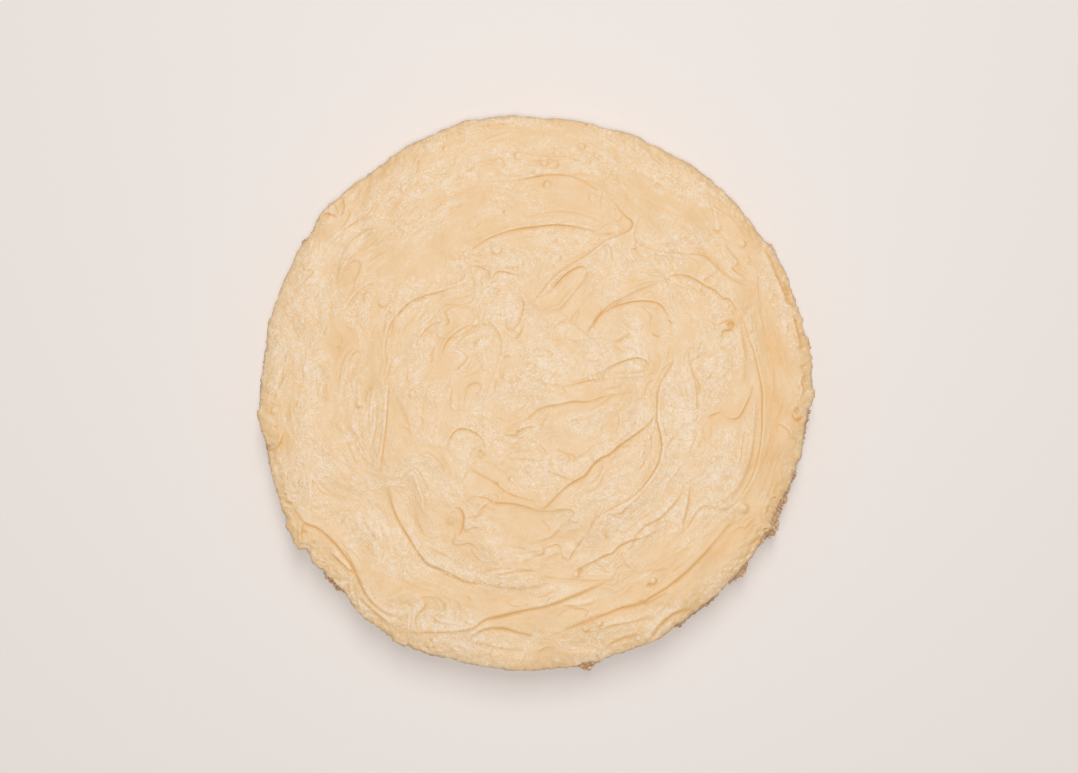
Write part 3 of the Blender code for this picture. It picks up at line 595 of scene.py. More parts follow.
def smooth_noise(points, seed):
    """Gradient noise between about -1 and 1 for an array of 3-D points, one cell to a unit."""
    random = np.random.default_rng(seed)
    table = random.permutation(256)
    leans = random.normal(size=(256, 3))
    leans /= np.linalg.norm(leans, axis=1, keepdims=True)
    cell = np.floor(points).astype(int)
    inside = points - cell
    ease = inside**3 * (inside * (inside * 6 - 15) + 10)
    total = np.zeros(len(points))
    for corner in itertools.product((0, 1), repeat=3):
        lean = leans[table_row(table, cell + corner)]
        weight = np.prod(np.where(corner, ease, 1 - ease), axis=1)
        total += weight * np.einsum("ij,ij->i", lean, inside - corner)
    return 1.6 * total


def cell_noise(points, seed):
    """Distance to the nearest of the scattered points, one to a unit cell, and how much nearer it is
    than the next one."""
    random = np.random.default_rng(seed)
    table = random.permutation(256)
    shifts = random.uniform(0, 1, (256, 3))
    cell = np.floor(points).astype(int)
    nearest = np.full(len(points), 9.0)
    second = np.full(len(points), 9.0)
    for step in itertools.product((-1, 0, 1), repeat=3):
        at = cell + step
        away = np.linalg.norm(at + shifts[table_row(table, at)] - points, axis=1)
        second = np.minimum(second, np.maximum(nearest, away))
        nearest = np.minimum(nearest, away)
    return nearest, second - nearest


def even_noise(points, size):
    """Blender's own noise at an array of points, as the solids use it."""
    return np.array([noise.noise(Vector(point)) for point in points / size])


def flat_noise(spots, size, seed):
    """Smooth noise at spots on the flat. size is in the spots' own unit."""
    return smooth_noise(np.column_stack((spots, np.zeros(len(spots)))) / size, seed)


def ramp(value, low, high):
    """0 below low, 1 above high, and a smooth step between them. low may be the larger."""
    share = np.clip((value - low) / (high - low), 0, 1)
    return share * share * (3 - 2 * share)


def hump(value, width):
    """1 where a value is 0, falling away on both sides over about a width."""
    return np.exp(-((value / width) ** 2))


def on_circle(angle, radius, height=0.0):
    """Places at angles in degrees about the middle of the cake."""
    turn = np.radians(angle)
    return np.stack((radius * np.cos(turn), radius * np.sin(turn), height + 0 * turn), axis=1)


def apart(angle, middle):
    """Degrees between two directions, the short way round."""
    return np.abs((angle - middle + 180) % 360 - 180)


def bulges_at(angle, bulges):
    """How far the named bulges push an outline outwards at each angle, in metres."""
    total = np.zeros(len(angle))
    for bulge in bulges:
        total += bulge.reach * MM * hump(apart(angle, bulge.angle), bulge.width)
    return total


def flaps_at(angle, flaps):
    """The same for torn lips, which begin and end abruptly."""
    total = np.zeros(len(angle))
    for flap in flaps:
        into = (angle - flap.start) % 360
        left = (flap.end - angle) % 360
        span = flap.end - flap.start
        inside = (into < span) & (left < span)
        rise = ramp(np.minimum(into, left), 0, flap.ramp)
        total += np.where(inside, flap.reach * MM * rise, 0)
    return total


def ragged_share(angle):
    """How torn and porous the cream's edge is at each angle, from 0 to 1."""
    return np.clip(LEAST_RAGGED + bulges_at(angle, RAGGED_ARCS) / MM, 0, 1)


def cream_edge(settings, angle, height=0.0):
    """Radius of the cream's outline at each angle in degrees. height is from the top of its side."""
    spots = on_circle(angle, settings.radius, height)
    fine = FINE_TEAR_DEPTH * (0.5 + 2 * ragged_share(angle)) * np.exp(height / FINE_TEAR_FADE)
    return (
        settings.radius
        + EDGE_WAVE_DEPTH * even_noise(spots, EDGE_WAVE)
        + EDGE_TEAR_DEPTH * even_noise(spots, EDGE_TEAR)
        + fine * smooth_noise(spots / FINE_TEAR, 3)
        + bulges_at(angle, CREAM_BULGES)
        + flaps_at(angle, CREAM_FLAPS)
    )


def base_edge(settings, angle, height):
    """Radius of the baked base at each angle and height, without its fine pores."""
    spots = on_circle(angle, settings.radius, height)
    middle = 1 - np.abs(2 * height / BASE_TOP - 1)
    rounding = BASE_ROUNDING * (1 - np.clip(3 * middle, 0, 1)) ** 2
    crags = bulges_at(angle, BASE_CRAGS + BASE_WORN)
    return (
        settings.radius
        + CRUMB_DEPTH * even_noise(spots, CRUMB_GRAIN)
        + BASE_WAVE_DEPTH * even_noise(spots, BASE_WAVE)
        - rounding
        + crags * (CRAG_FOOT + (1 - CRAG_FOOT) * height / BASE_TOP)
    )


def smooth_path(points):
    """A Catmull-Rom curve through a stroke's points, in steps of about a millimetre."""
    knots = np.array([points[0], *points, points[-1]], float)
    made = []
    for before, start, end, after in zip(knots, knots[1:], knots[2:], knots[3:]):
        steps = max(2, round(np.linalg.norm(end - start) / PATH_STEP))
        share = np.linspace(0, 1, steps, endpoint=False)[:, None]
        bend = 2 * before - 5 * start + 4 * end - after
        twist = 3 * start - before - 3 * end + after
        made.append(0.5 * (2 * start + (end - before) * share + bend * share**2 + twist * share**3))
    return np.concatenate([*made, knots[-1:]])


def beside(path, spots, reach):
    """Nearby spots, their signed distance from a path and how far along it they lie, in mm."""
    near = np.flatnonzero(
        ((spots > path.min(axis=0) - reach) & (spots < path.max(axis=0) + reach)).all(axis=1)
    )
    start, step = path[:-1], np.diff(path, axis=0)
    to_spot = spots[near][:, None] - start
    share = np.clip((to_spot * step).sum(axis=2) / (step**2).sum(axis=1), 0, 1)
    away = to_spot - share[:, :, None] * step
    gap = np.hypot(away[:, :, 0], away[:, :, 1])
    best = gap.argmin(axis=1)
    row = np.arange(len(near))
    side = np.sign(step[best, 0] * away[row, best, 1] - step[best, 1] * away[row, best, 0])
    return near, side * gap[row, best], (best + share[row, best]) * PATH_STEP, len(step) * PATH_STEP


def crease_layers(paths):
    """Puts strokes that run close together in different layers, so that their lines stay apart."""
    layers = []
    for index, path in enumerate(paths):
        crowded = [0] * len(CREASE_LAYERS)
        for other, layer in zip(paths[:index], layers):
            gap = np.linalg.norm(path[:, None] - other[None], axis=2).min()
            crowded[layer] += gap < CREASE_CLEARANCE
        layers.append(crowded.index(min(crowded)))
    return layers


def ridge_height(gap, width):
    """A ridge with a long soft side and a short steep one, and a furrow at its foot."""
    crest = gap - CREST_SHIFT
    spread = np.where(crest > 0, width, LEE_WIDTH)
    return hump(crest, spread) - FURROW_SHARE * hump(crest + FURROW_SHIFT, FURROW_WIDTH)


def round_flow(spots):
    """A height map in mm whose level lines are the spatula's uneven rounds about the middle."""
    height = np.sqrt(spots[:, 0] ** 2 + (spots[:, 1] - SWIRL_MIDDLE_Y) ** 2 + SWIRL_SOFTNESS)
    for size, reach, seed in SWIRL_SWAYS:
        height += reach * flat_noise(spots, size, seed)
    return height


def outward(path):
    """1 where a path's left side looks away from the middle of the swirls, otherwise -1."""
    middle, after = path[len(path) // 2 : len(path) // 2 + 2]
    step = after - middle
    return np.sign(step[0] * (middle[1] - SWIRL_MIDDLE_Y) - step[1] * middle[0]) or 1.0


def stroke_relief(spots):
    """Height in mm of the spatula's strokes, the lines of their creases and the way the cream flows."""
    height = np.zeros(len(spots))
    lines = {
        name: (np.full(len(spots), CREASE_REACH), np.zeros(len(spots))) for name in CREASE_LAYERS
    }
    flow = PLAIN_FLOW * round_flow(spots)
    pull = np.full(len(spots), PLAIN_FLOW)
    paths = [smooth_path(stroke.path) for stroke in STROKES]
    for stroke, path, layer in zip(STROKES, paths, crease_layers(paths)):
        reach = max(1.7 * stroke.comb, 3 * stroke.width)
        near, gap, along, total = beside(path, spots, reach)
        fade = np.sin(math.pi * np.clip(along / total, 0, 1)) ** END_FADE
        height[near] += RISE_SCALE * stroke.rise * fade * ridge_height(-stroke.lee * gap, stroke.width)
        weight = fade * hump(gap, stroke.comb)
        flow[near] += weight * (outward(path) * gap + round_flow(path[len(path) // 2][None])[0])
        pull[near] += weight
        distance, mark = lines[CREASE_LAYERS[layer]]
        closer = (np.abs(gap) < np.abs(distance[near])) & (np.abs(gap) < CREASE_REACH)
        distance[near[closer]] = stroke.lee * gap[closer]
        mark[near[closer]] = (stroke.crease * fade * ramp(np.abs(gap), CREASE_REACH, 1.3))[closer]
    return height, lines, flow / pull


def along_flow(flow, spots, across, along, seed):
    """Noise drawn out along the cream's flow. across and along are in mm."""
    return smooth_noise(np.column_stack((flow / across, spots / along)), seed)


def steps_of(part, grid):
    """How much a value changes from row to row and from column to column of a square grid."""
    return np.gradient(part[grid])


def line_distance(value, spots, grid):
    """Distance in mm from each spot of a square grid to the line where its value is zero."""
    steps = [steps_of(part, grid) for part in (value, *spots.T)]
    slope = np.hypot(*(steps[0][way] / np.hypot(steps[1][way], steps[2][way]) for way in (0, 1)))
    distance = np.full(len(value), CREASE_REACH)
    distance[grid] = value[grid] / np.maximum(slope, 0.05)
    return distance


def slope_away(height, spots, grid):
    """How steeply the relief rises towards the top of the photograph, on a square grid of spots."""
    rows, columns = zip(*(steps_of(part, grid) for part in (height, *spots.T)))
    turned = rows[2] * columns[1] - columns[2] * rows[1]
    slope = np.zeros(len(height))
    slope[grid] = (rows[0] * columns[1] - columns[0] * rows[1]) / np.where(turned == 0, 1, turned)
    return np.clip(slope, -STEEPEST, STEEPEST)


def fold_relief(spots, flow, grid, calm):
    """Height in mm of the lesser folds and wisps, and the lines of the folds' creases."""
    height = np.zeros(len(spots))
    lines = {}
    for number, (across, along, rise) in enumerate(FOLDS):
        gap = line_distance(along_flow(flow, spots, across, along, 50 + number), spots, grid)
        strength = ramp(flat_noise(spots, FOLD_PATCH * across, 60 + number), -0.1, 0.6) * calm
        height += rise * strength * ridge_height(gap, FOLD_WIDTH * across)
        lines["fold_%d" % number] = (-gap, 0.5 * strength * ramp(np.abs(gap), CREASE_REACH, 1.2))
    for number, (across, along, rise) in enumerate(WISPS):
        height += rise * calm * along_flow(flow, spots, across, along, 70 + number)
    return height, lines


def ring_lines(spots, line):
    """Adds the rings around the small blobs, painted shade at their feet, to a layer of crease lines."""
    gap, mark = line
    for bump in BUMPS:
        away = np.hypot(spots[:, 0] - bump.x, spots[:, 1] - bump.y)
        ring = np.flatnonzero(away < 2.2 * bump.radius)
        off = away[ring] - bump.radius
        closer = np.abs(off) < np.abs(gap[ring])
        uneven = 0.3 + 0.3 * np.sin(2.3 * bump.x + np.arctan2(*(spots[ring] - (bump.x, bump.y)).T))
        gap[ring[closer]] = off[closer]
        mark[ring[closer]] = (uneven * ramp(np.abs(off), CREASE_REACH, 0.8))[closer]


def spot_relief(spots, marks):
    """Height in mm of small round bumps or pits, and how strongly each is felt."""
    height = np.zeros(len(spots))
    felt = np.zeros(len(spots))
    for mark in marks:
        away = np.hypot(spots[:, 0] - mark.x, spots[:, 1] - mark.y)
        near = np.flatnonzero(away < 3.5 * mark.radius)
        share = away[near] / mark.radius
        dome = np.exp(-(share**2) * SPOT_STEEPNESS)
        height[near] += mark.rise * (dome - 0.3 * hump(share - 1.5, 0.35))
        felt[near] = np.maximum(felt[near], dome)
    return height, felt


def tone_at(spots):
    """How rough and pale with painted sheen (above 0) or smooth and deep in colour (below 0) the cream is
    at each spot.
    """
    tone = np.zeros(len(spots))
    for zone in TONES:
        turn = math.radians(zone.turn)
        dx, dy = spots[:, 0] - zone.x, spots[:, 1] - zone.y
        along = (dx * math.cos(turn) + dy * math.sin(turn)) / zone.long
        beyond = (dy * math.cos(turn) - dx * math.sin(turn)) / zone.wide
        tone += zone.tone * np.exp(-(along**2 + beyond**2) / ZONE_SOFTNESS)
    return tone


def row_order(place):
    """A number, never the same for two places of the cage, that orders them by z, then y, then x."""
    return 1e6 * place.z + 1e3 * place.y + place.x


def cream_cage():
    """A grid with rows for a side and a closed bottom. x and y run from -1 to 1, z is minus the row."""
    mesh = bmesh.new()
    bmesh.ops.create_grid(mesh, x_segments=CREAM_CELLS, y_segments=CREAM_CELLS, size=1.0)
    rim = [edge for edge in mesh.edges if edge.is_boundary]
    for row in range(CREAM_SIDE_ROWS):
        made = bmesh.ops.extrude_edge_only(mesh, edges=rim)["geom"]
        rim = [item for item in made if isinstance(item, bmesh.types.BMEdge)]
        for vertex in (item for item in made if isinstance(item, bmesh.types.BMVert)):
            vertex.co.z = -1 - row
    bmesh.ops.edgeloop_fill(mesh, edges=rim)
    bmesh.ops.recalc_face_normals(mesh, faces=mesh.faces)
    # Extruding numbers the side differently in each run, so vertices and faces are put in order
    mesh.verts.sort(key=lambda vertex: row_order(vertex.co))
    mesh.faces.sort(key=lambda face: row_order(face.calc_center_median()))
    return mesh


def mesh_data(name, mesh):
    """Turns a finished bmesh into mesh data and frees it."""
    data = bpy.data.meshes.new(name)
    mesh.to_mesh(data)
    mesh.free()
    return data


def put_in_scene(name, data):
    thing = bpy.data.objects.new(name, data)
    bpy.context.scene.collection.objects.link(thing)
    return thing


def finish_piece(name, data, material):
    """Makes mesh data a smooth piece that rides with the cake."""
    data.materials.append(material)
    data.shade_smooth()
    piece = put_in_scene(name, data)
    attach(piece, "root")
    return piece


def vertex_places(data):
    places = np.empty(len(data.vertices) * 3)
    data.vertices.foreach_get("co", places)
    return places.reshape(-1, 3)


def place_vertices(data, places):
    data.vertices.foreach_set("co", places.ravel())
    data.update()


def keep_attribute(data, name, values):
    """Stores one number for each vertex, for the shader to read."""
    attribute = data.attributes.new(name, "FLOAT", "POINT")
    attribute.data.foreach_set("value", values.astype(np.float32))


def cream_top(settings, places, edge, angle, grid):
    """Height of the cream's top at each place, and what its shader needs to know."""
    spots = places[:, :2] / MM
    flat = places * (1, 1, 0)
    inset = edge - np.hypot(places[:, 0], places[:, 1])
    body = settings.rim + (settings.thickness - settings.rim) * (1 - np.exp(-inset / SHOULDER))
    strokes, lines, flow = stroke_relief(spots)
    ring_lines(spots, lines[CREASE_LAYERS[-1]])
    sway = np.column_stack([flat_noise(spots, FIELD_SWAY, seed) for seed in (16, 17)])
    tone = settings.contrast * tone_at(spots + FIELD_SWAY_REACH * sway)
    calm = (CALM_FOLDS + (1 - CALM_FOLDS) * ramp(tone, -0.15, 0.1)) * ramp(inset, *FOLDED_FROM)
    folds, fold_lines = fold_relief(spots, flow, grid, calm)
    bumps, _ = spot_relief(spots, BUMPS)
    pits, pitted = spot_relief(spots, PITS)
    ragged = ragged_share(angle) * ramp(inset, *RAGGED_RIM)
    tear = sum(rise * flat_noise(spots, size, seed) for size, rise, seed in TEARS)
    height = (
        CREAM_FLOOR
        + body
        + settings.swell * even_noise(flat, SWELL_LENGTH)
        + settings.ripple * even_noise(flat, RIPPLE_LENGTH)
        + settings.relief * MM * (strokes + folds + BUMP_HEIGHT * bumps + pits + ragged * tear)
    )
    # lift and lee carry painted highlight and shade: lift makes crests paler and furrows deeper, partly
    # thicker cream and partly painted shade; lee darkens slopes facing away from the key light; tone
    # carries the painted sheen of the rough fields
    facts = {
        "flow": flow * MM,
        "lift": strokes + folds + BUMP_LIFT * bumps,
        "lee": slope_away(strokes + folds + BUMP_SLOPE * bumps, spots, grid),
        "tone": tone,
        "pit": pitted,
        "ragged": ragged,
    }
    for name, (gap, mark) in (lines | fold_lines).items():
        facts["gap_" + name] = gap
        facts["mark_" + name] = mark
    return height, facts


def cream_side(settings, angle, edge, base, top, down):
    """The cream's torn side, which rolls over from the top, hangs a little and tucks in underneath.

    top is the height where it starts. down is 0 there, 1 at the last row but one, and more in the
    last row, which lies underneath.
    """
    droop = np.clip(DROOP_SHARE * (edge - base - DROOP_START), 0, DROOP_MOST)
    low = CREAM_FLOOR - CREAM_SINK - droop
    turn = SIDE_TURN * np.minimum(down, 1)
    middle, half = (top + low) / 2, (top - low) / 2
    torn = cream_edge(settings, angle, SIDE_FLUTING * half * (np.cos(turn) - 1))
    out = torn - CREAM_LIP + CREAM_LIP * np.sin(turn) ** LIP_ROUNDNESS
    places = on_circle(angle, out, middle + half * np.cos(turn))
    lumps = sum(rise * smooth_noise(places / size, seed) for size, rise, seed in SIDE_LUMPS)
    bulge = lumps * np.sin(turn) * (SIDE_LUMPS_LEAST + SIDE_LUMPS_TORN * ragged_share(angle))
    places = on_circle(angle, out + bulge, places[:, 2] - 0.4 * bulge)
    under = down > 1
    tucked = np.minimum(edge - 1.6 * CREAM_LIP, base - TUCK)
    places[under] = on_circle(angle, tucked, CREAM_FLOOR - CREAM_SINK)[under]
    return places


def shape_cream(settings, crumb, data):
    """Moves the cage's vertices to the cream's form and stores what its shader reads."""
    cage = vertex_places(data)
    u, v = cage[:, 0], cage[:, 1]
    disc = np.stack((u * np.sqrt(1 - v * v / 2), v * np.sqrt(1 - u * u / 2)), axis=1)
    angle = np.degrees(np.arctan2(disc[:, 1], disc[:, 0])) % 360
    reach = np.minimum(np.hypot(disc[:, 0], disc[:, 1]), 1)
    edge = cream_edge(settings, angle)
    torn = ramp(reach, TORN_FROM, 1)
    radius = reach * (settings.radius + (edge - settings.radius) * torn - CREAM_LIP)
    places = on_circle(angle, radius)
    top = np.flatnonzero(cage[:, 2] > -0.5)
    grid = top[np.lexsort((u[top], v[top]))].reshape(math.isqrt(len(top)), -1)
    places[:, 2], facts = cream_top(settings, places, edge, angle, grid)
    side = np.flatnonzero(cage[:, 2] < -0.5)
    down = -cage[side, 2] / (CREAM_SIDE_ROWS - 1)
    base = base_edge(crumb, angle[side], np.full(len(side), BASE_TOP))
    places[side] = cream_side(settings, angle[side], edge[side], base, places[side, 2], down)
    for name, values in facts.items():
        if name.startswith("mark"):
            values[side] = 0
        keep_attribute(data, name, values)
    place_vertices(data, places)


def add_node(tree, kind, inputs=None, **settings):
    """A shader node with its settings, and with sockets linked or set by name or number."""
    made = tree.nodes.new(kind)
    for name, value in settings.items():
        setattr(made, name, value)
    for key, value in (inputs or {}).items():
        if isinstance(value, bpy.types.NodeSocket):
            tree.links.new(value, made.inputs[key])
        else:
            made.inputs[key].default_value = value
    return made


def mixed(tree, share, first, second):
    """Blends two colours by a share."""
    node = add_node(tree, "ShaderNodeMix", {0: share, 6: first, 7: second}, data_type="RGBA")
    return node.outputs[2]


def stepped(tree, value, low, high, top=1.0):
    """Maps a value's range from low to high onto 0 to top, smoothly and clamped."""
    inputs = {"Value": value, "From Min": low, "From Max": high, "To Max": top}
    return add_node(tree, "ShaderNodeMapRange", inputs, interpolation_type="SMOOTHSTEP").outputs[0]


def shared(tree, value, low, high):
    """How far a value lies from low to high, from 0 to 1."""
    inputs = {"Value": value, "From Min": low, "From Max": high}
    return add_node(tree, "ShaderNodeMapRange", inputs).outputs[0]


def worked(tree, operation, *values):
    """The result of a Math node."""
    inputs = dict(enumerate(values))
    return add_node(tree, "ShaderNodeMath", inputs, operation=operation).outputs[0]


def scaled(tree, value, factor):
    return worked(tree, "MULTIPLY", value, factor)


def summed(tree, first, *others):
    for other in others:
        first = worked(tree, "ADD", first, other)
    return first


def weighted(tree, *parts):
    """The sum of values, each times its own weight."""
    return summed(tree, *(scaled(tree, value, weight) for value, weight in parts))


def swing(tree, value, size):
    """Noise about 0.5 turned into a push of about half of size either way from 0."""
    return worked(tree, "MULTIPLY_ADD", value, size, -0.5 * size)


def noise_of(tree, place, grain):
    """Noise whose features are about as wide as the grain's size in metres."""
    inputs = {
        "Vector": place,
        "Scale": 1 / grain.size,
        "Detail": grain.detail,
        "Roughness": grain.rough,
        "Distortion": grain.bend,
    }
    return add_node(tree, "ShaderNodeTexNoise", inputs).outputs["Fac"]


def stored(tree, name):
    """A number that the mesh stores for each vertex."""
    return add_node(tree, "ShaderNodeAttribute", attribute_name=name).outputs["Fac"]


def new_shader(name):
    """A material's node tree, its Principled shader and the surface's own coordinates."""
    material = bpy.data.materials.new(name)
    material.use_nodes = True
    tree = material.node_tree
    place = add_node(tree, "ShaderNodeTexCoord").outputs["Object"]
    return material, tree, tree.nodes["Principled BSDF"], place


def roughened(tree, shader, relief, depth, strength):
    """Gives the surface small relief up to depth metres high."""
    inputs = {"Height": relief, "Distance": depth, "Strength": strength}
    tree.links.new(add_node(tree, "ShaderNodeBump", inputs).outputs[0], shader.inputs["Normal"])


def crease_parts(tree):
    """The spatula's creases: thin lines of painted shade, a softer halo of painted shade around them,
    painted highlights on the crests and the step down at them.
    """
    parts = [0.0, 0.0, 0.0, 0.0]
    for name in (*CREASE_LAYERS, *("fold_%d" % number for number in range(len(FOLDS)))):
        gap = stored(tree, "gap_" + name)
        mark = stored(tree, "mark_" + name)
        distance = worked(tree, "ABSOLUTE", gap)
        from_crest = worked(tree, "ABSOLUTE", worked(tree, "ADD", gap, CREST_SHIFT))
        shapes = (
            stepped(tree, distance, 0.6, 0.08),
            stepped(tree, distance, 1.8, 0.3),
            stepped(tree, from_crest, 0.55, 0.05),
            stepped(tree, gap, 0.35, -0.5),
        )
        parts = [
            worked(tree, "MAXIMUM", scaled(tree, shape, mark), part) for shape, part in zip(shapes, parts)
        ]
    return parts


def drawn_out(tree, place, share):
    """Coordinates in which noise is drawn out along the cream's flow."""
    parts = add_node(tree, "ShaderNodeSeparateXYZ", {0: place}).outputs
    sideways = scaled(tree, worked(tree, "ADD", parts[0], parts[2]), share)
    upwards = scaled(tree, worked(tree, "SUBTRACT", parts[1], parts[2]), share)
    inputs = {0: stored(tree, "flow"), 1: sideways, 2: upwards}
    return add_node(tree, "ShaderNodeCombineXYZ", inputs).outputs[0]


def cream_material(settings):
    """Satin cream: smooth tan fields, painted sheen in pale flecks, glints and rough fields, and painted
    shade in thin creases and pores.
    """
    material, tree, shader, place = new_shader("satin_cream")
    tone, ragged, lift, lee, pitted = (
        stored(tree, name) for name in ("tone", "ragged", "lift", "lee", "pit")
    )
    long, short = drawn_out(tree, place, LONG_DRAW), drawn_out(tree, place, SHORT_DRAW)
    broad, bands = noise_of(tree, long, CREAM_BROAD), noise_of(tree, long, CREAM_BANDS)
    wisps, curls = noise_of(tree, short, CREAM_WISPS), noise_of(tree, short, CREAM_CURLS)
    flecks, fine = noise_of(tree, place, CREAM_FLECKS), noise_of(tree, place, CREAM_FINE)
    # busy marks the rough fields, where the fine bumps and the painted sheen of wisps, flecks and glints
    # are strongest; glint draws thin curls of painted highlight
    busy = stepped(tree, summed(tree, tone, swing(tree, broad, 0.6)), -0.14, 0.14)
    glint = stepped(tree, worked(tree, "ABSOLUTE", swing(tree, curls, 1.0)), 0.042, 0.004)
    line, shade_halo, crest, step = crease_parts(tree)
    # The mix below paints sheen and shade over random tone variation: low values take the crease tone, high
    # values the light tone
    sheen_and_shade = summed(
        tree,
        0.55,
        tone,
        swing(tree, broad, 0.3),
        swing(tree, bands, 0.5),
        swing(tree, fine, 0.64),
        scaled(tree, swing(tree, wisps, 0.56), worked(tree, "ADD", busy, 0.4)),
        scaled(tree, swing(tree, flecks, 0.6), worked(tree, "ADD", busy, 0.35)),
        scaled(tree, scaled(tree, glint, 0.7), worked(tree, "ADD", busy, 0.05)),
        # Painted highlight on crests and on slopes facing the key light, painted shade in furrows, on
        # slopes facing away and along the crease lines
        weighted(tree, (lift, 0.22), (lee, -0.7)),
        weighted(tree, (line, -0.5), (shade_halo, -0.26), (crest, 0.14), (step, 0.1)),
    )
    ground = mixed(tree, shared(tree, sheen_and_shade, 0.0, 0.6), settings.crease, settings.middle)
    creased = mixed(tree, shared(tree, sheen_and_shade, 0.6, 1.0), ground, settings.light)
    # Pits and the pores of the torn rim sink and also take the crease tone: painted shade in the holes
    holes = add_node(tree, "ShaderNodeTexVoronoi", {"Vector": place, "Scale": 1 / CREAM_PORE}).outputs[0]
    hole = scaled(tree, stepped(tree, holes, 0.2, 0.08), stepped(tree, ragged, 0.45, 0.9))
    pit = worked(tree, "MAXIMUM", stepped(tree, pitted, 0.35, 0.9), scaled(tree, hole, 0.8))
    tree.links.new(mixed(tree, pit, creased, settings.crease), shader.inputs["Base Color"])
    roughness = worked(tree, "ADD", scaled(tree, fine, 0.16), settings.roughness - 0.06)
    tree.links.new(roughness, shader.inputs["Roughness"])
    skin = weighted(
        tree, (flecks, worked(tree, "ADD", busy, 0.1)), (wisps, 0.6), (fine, 0.15), (step, 0.75)
    )
    sunk = weighted(tree, (line, 0.3), (pit, 0.8))
    roughened(tree, shader, worked(tree, "SUBTRACT", skin, sunk), CREAM_SKIN, 0.7)
    shader.inputs["Subsurface Weight"].default_value = 0.2
    shader.inputs["Subsurface Radius"].default_value = (0.8, 0.6, 0.45)
    shader.inputs["Subsurface Scale"].default_value = CREAM_GLOW
    return material


def bent_place(tree, place, size, reach):
    """Coordinates pushed up to about half of reach each way, by noise of the given size in metres."""
    inputs = {"Vector": place, "Scale": 1 / size, "Detail": 1.0}
    colour = add_node(tree, "ShaderNodeTexNoise", inputs).outputs["Color"]
    inputs = {0: colour, 1: (reach, reach, reach), 2: (-reach / 2, -reach / 2, -reach / 2)}
    push = add_node(tree, "ShaderNodeVectorMath", inputs, operation="MULTIPLY_ADD").outputs[0]
    return add_node(tree, "ShaderNodeVectorMath", {0: place, 1: push}, operation="ADD").outputs[0]


def crumb_material(settings, name, lift):
    """Dry baked crumb: paler where its grains stand up, painted shade in open pores, cracks and crevices,
    and patches of deeper browning.
    """
    material, tree, shader, place = new_shader(name)
    patches, grains, fine = (
        noise_of(tree, place, grain) for grain in (CRUMB_PATCHES, CRUMB_GRAINS, CRUMB_FINE)
    )
    shapes = {"Vector": bent_place(tree, place, CRUMB_BEND, CRUMB_BEND_REACH), "Scale": 1 / CRUMB_SHAPE}
    shades = add_node(tree, "ShaderNodeTexVoronoi", shapes).outputs["Color"]
    seams = add_node(tree, "ShaderNodeTexVoronoi", shapes, feature="DISTANCE_TO_EDGE").outputs[0]
    crumb = stepped(tree, shades, 0.2, 0.8)
    crack = stepped(tree, seams, 0.07, 0.0, 0.35)
    pore = stepped(tree, grains, 0.4, 0.28)
    # Pores, cracks and crevices take the dark tone: painted shade
    deep = worked(tree, "MAXIMUM", worked(tree, "MAXIMUM", crack, pore), stored(tree, "crevice"))
    pale = summed(
        tree, lift, swing(tree, grains, 1.5), swing(tree, patches, 1.0), scaled(tree, crumb, 0.5)
    )
    ground = mixed(tree, stepped(tree, pale, -0.1, 0.75), settings.middle, settings.light)
    colour = mixed(tree, scaled(tree, deep, 0.7), ground, settings.dark)
    tree.links.new(colour, shader.inputs["Base Color"])
    relief = weighted(tree, (grains, 0.8), (fine, 0.3), (crumb, 0.35), (deep, -0.6))
    roughened(tree, shader, relief, CRUMB_SKIN, 0.9)
    dry = {"Value": fine, "To Min": 0.82, "To Max": 0.98}
    tree.links.new(add_node(tree, "ShaderNodeMapRange", dry).outputs[0], shader.inputs["Roughness"])
    return material


class CAKE_OT_spread_cream(bpy.types.Operator):
    """Spreads the cream over the base, with its swirls, torn edge and hanging lips"""

    bl_idname = "cake.spread_cream"
    bl_label = "Spread Cream"

    def execute(self, context):
        scene = context.scene
        data = mesh_data("spread_cream", cream_cage())
        shape_cream(scene.cake_cream, scene.cake_crumb, data)
        piece = finish_piece("spread_cream", data, cream_material(scene.cake_cream))
        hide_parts("cream_layer")
        return {"FINISHED"}


def base_profile(share):
    """Radius inset and height along the base's section: in over the top, down the side, in underneath."""
    spans = np.array((TOP_STRIP, BASE_TOP, UNDER_STRIP))
    reached = share * spans.sum()
    over = np.clip(reached, 0, spans[0])
    down = np.clip(reached - spans[0], 0, spans[1])
    under = np.clip(reached - spans[0] - spans[1], 0, spans[2])
    inset = spans[0] - over + under
    return inset, BASE_TOP - down


def base_cage():
    """A strip of the base's section all the way round, welded and closed above and below."""
    mesh = bmesh.new()
    bmesh.ops.create_grid(mesh, x_segments=BASE_SEGMENTS, y_segments=BASE_ROWS, size=0.5)
    for vertex in mesh.verts:
        angle = 2 * math.pi * (vertex.co.x + 0.5)
        row = vertex.co.y + 0.5
        reach = 1 + row
        vertex.co = (reach * math.cos(angle), reach * math.sin(angle), row)
    bmesh.ops.remove_doubles(mesh, verts=mesh.verts, dist=1e-5)
    for height in (0, 1):
        rim = [
            edge
            for edge in mesh.edges
            if edge.is_boundary and abs(edge.verts[0].co.z - height) < 1e-4
        ]
        bmesh.ops.edgeloop_fill(mesh, edges=rim)
    bmesh.ops.recalc_face_normals(mesh, faces=mesh.faces)
    return mesh


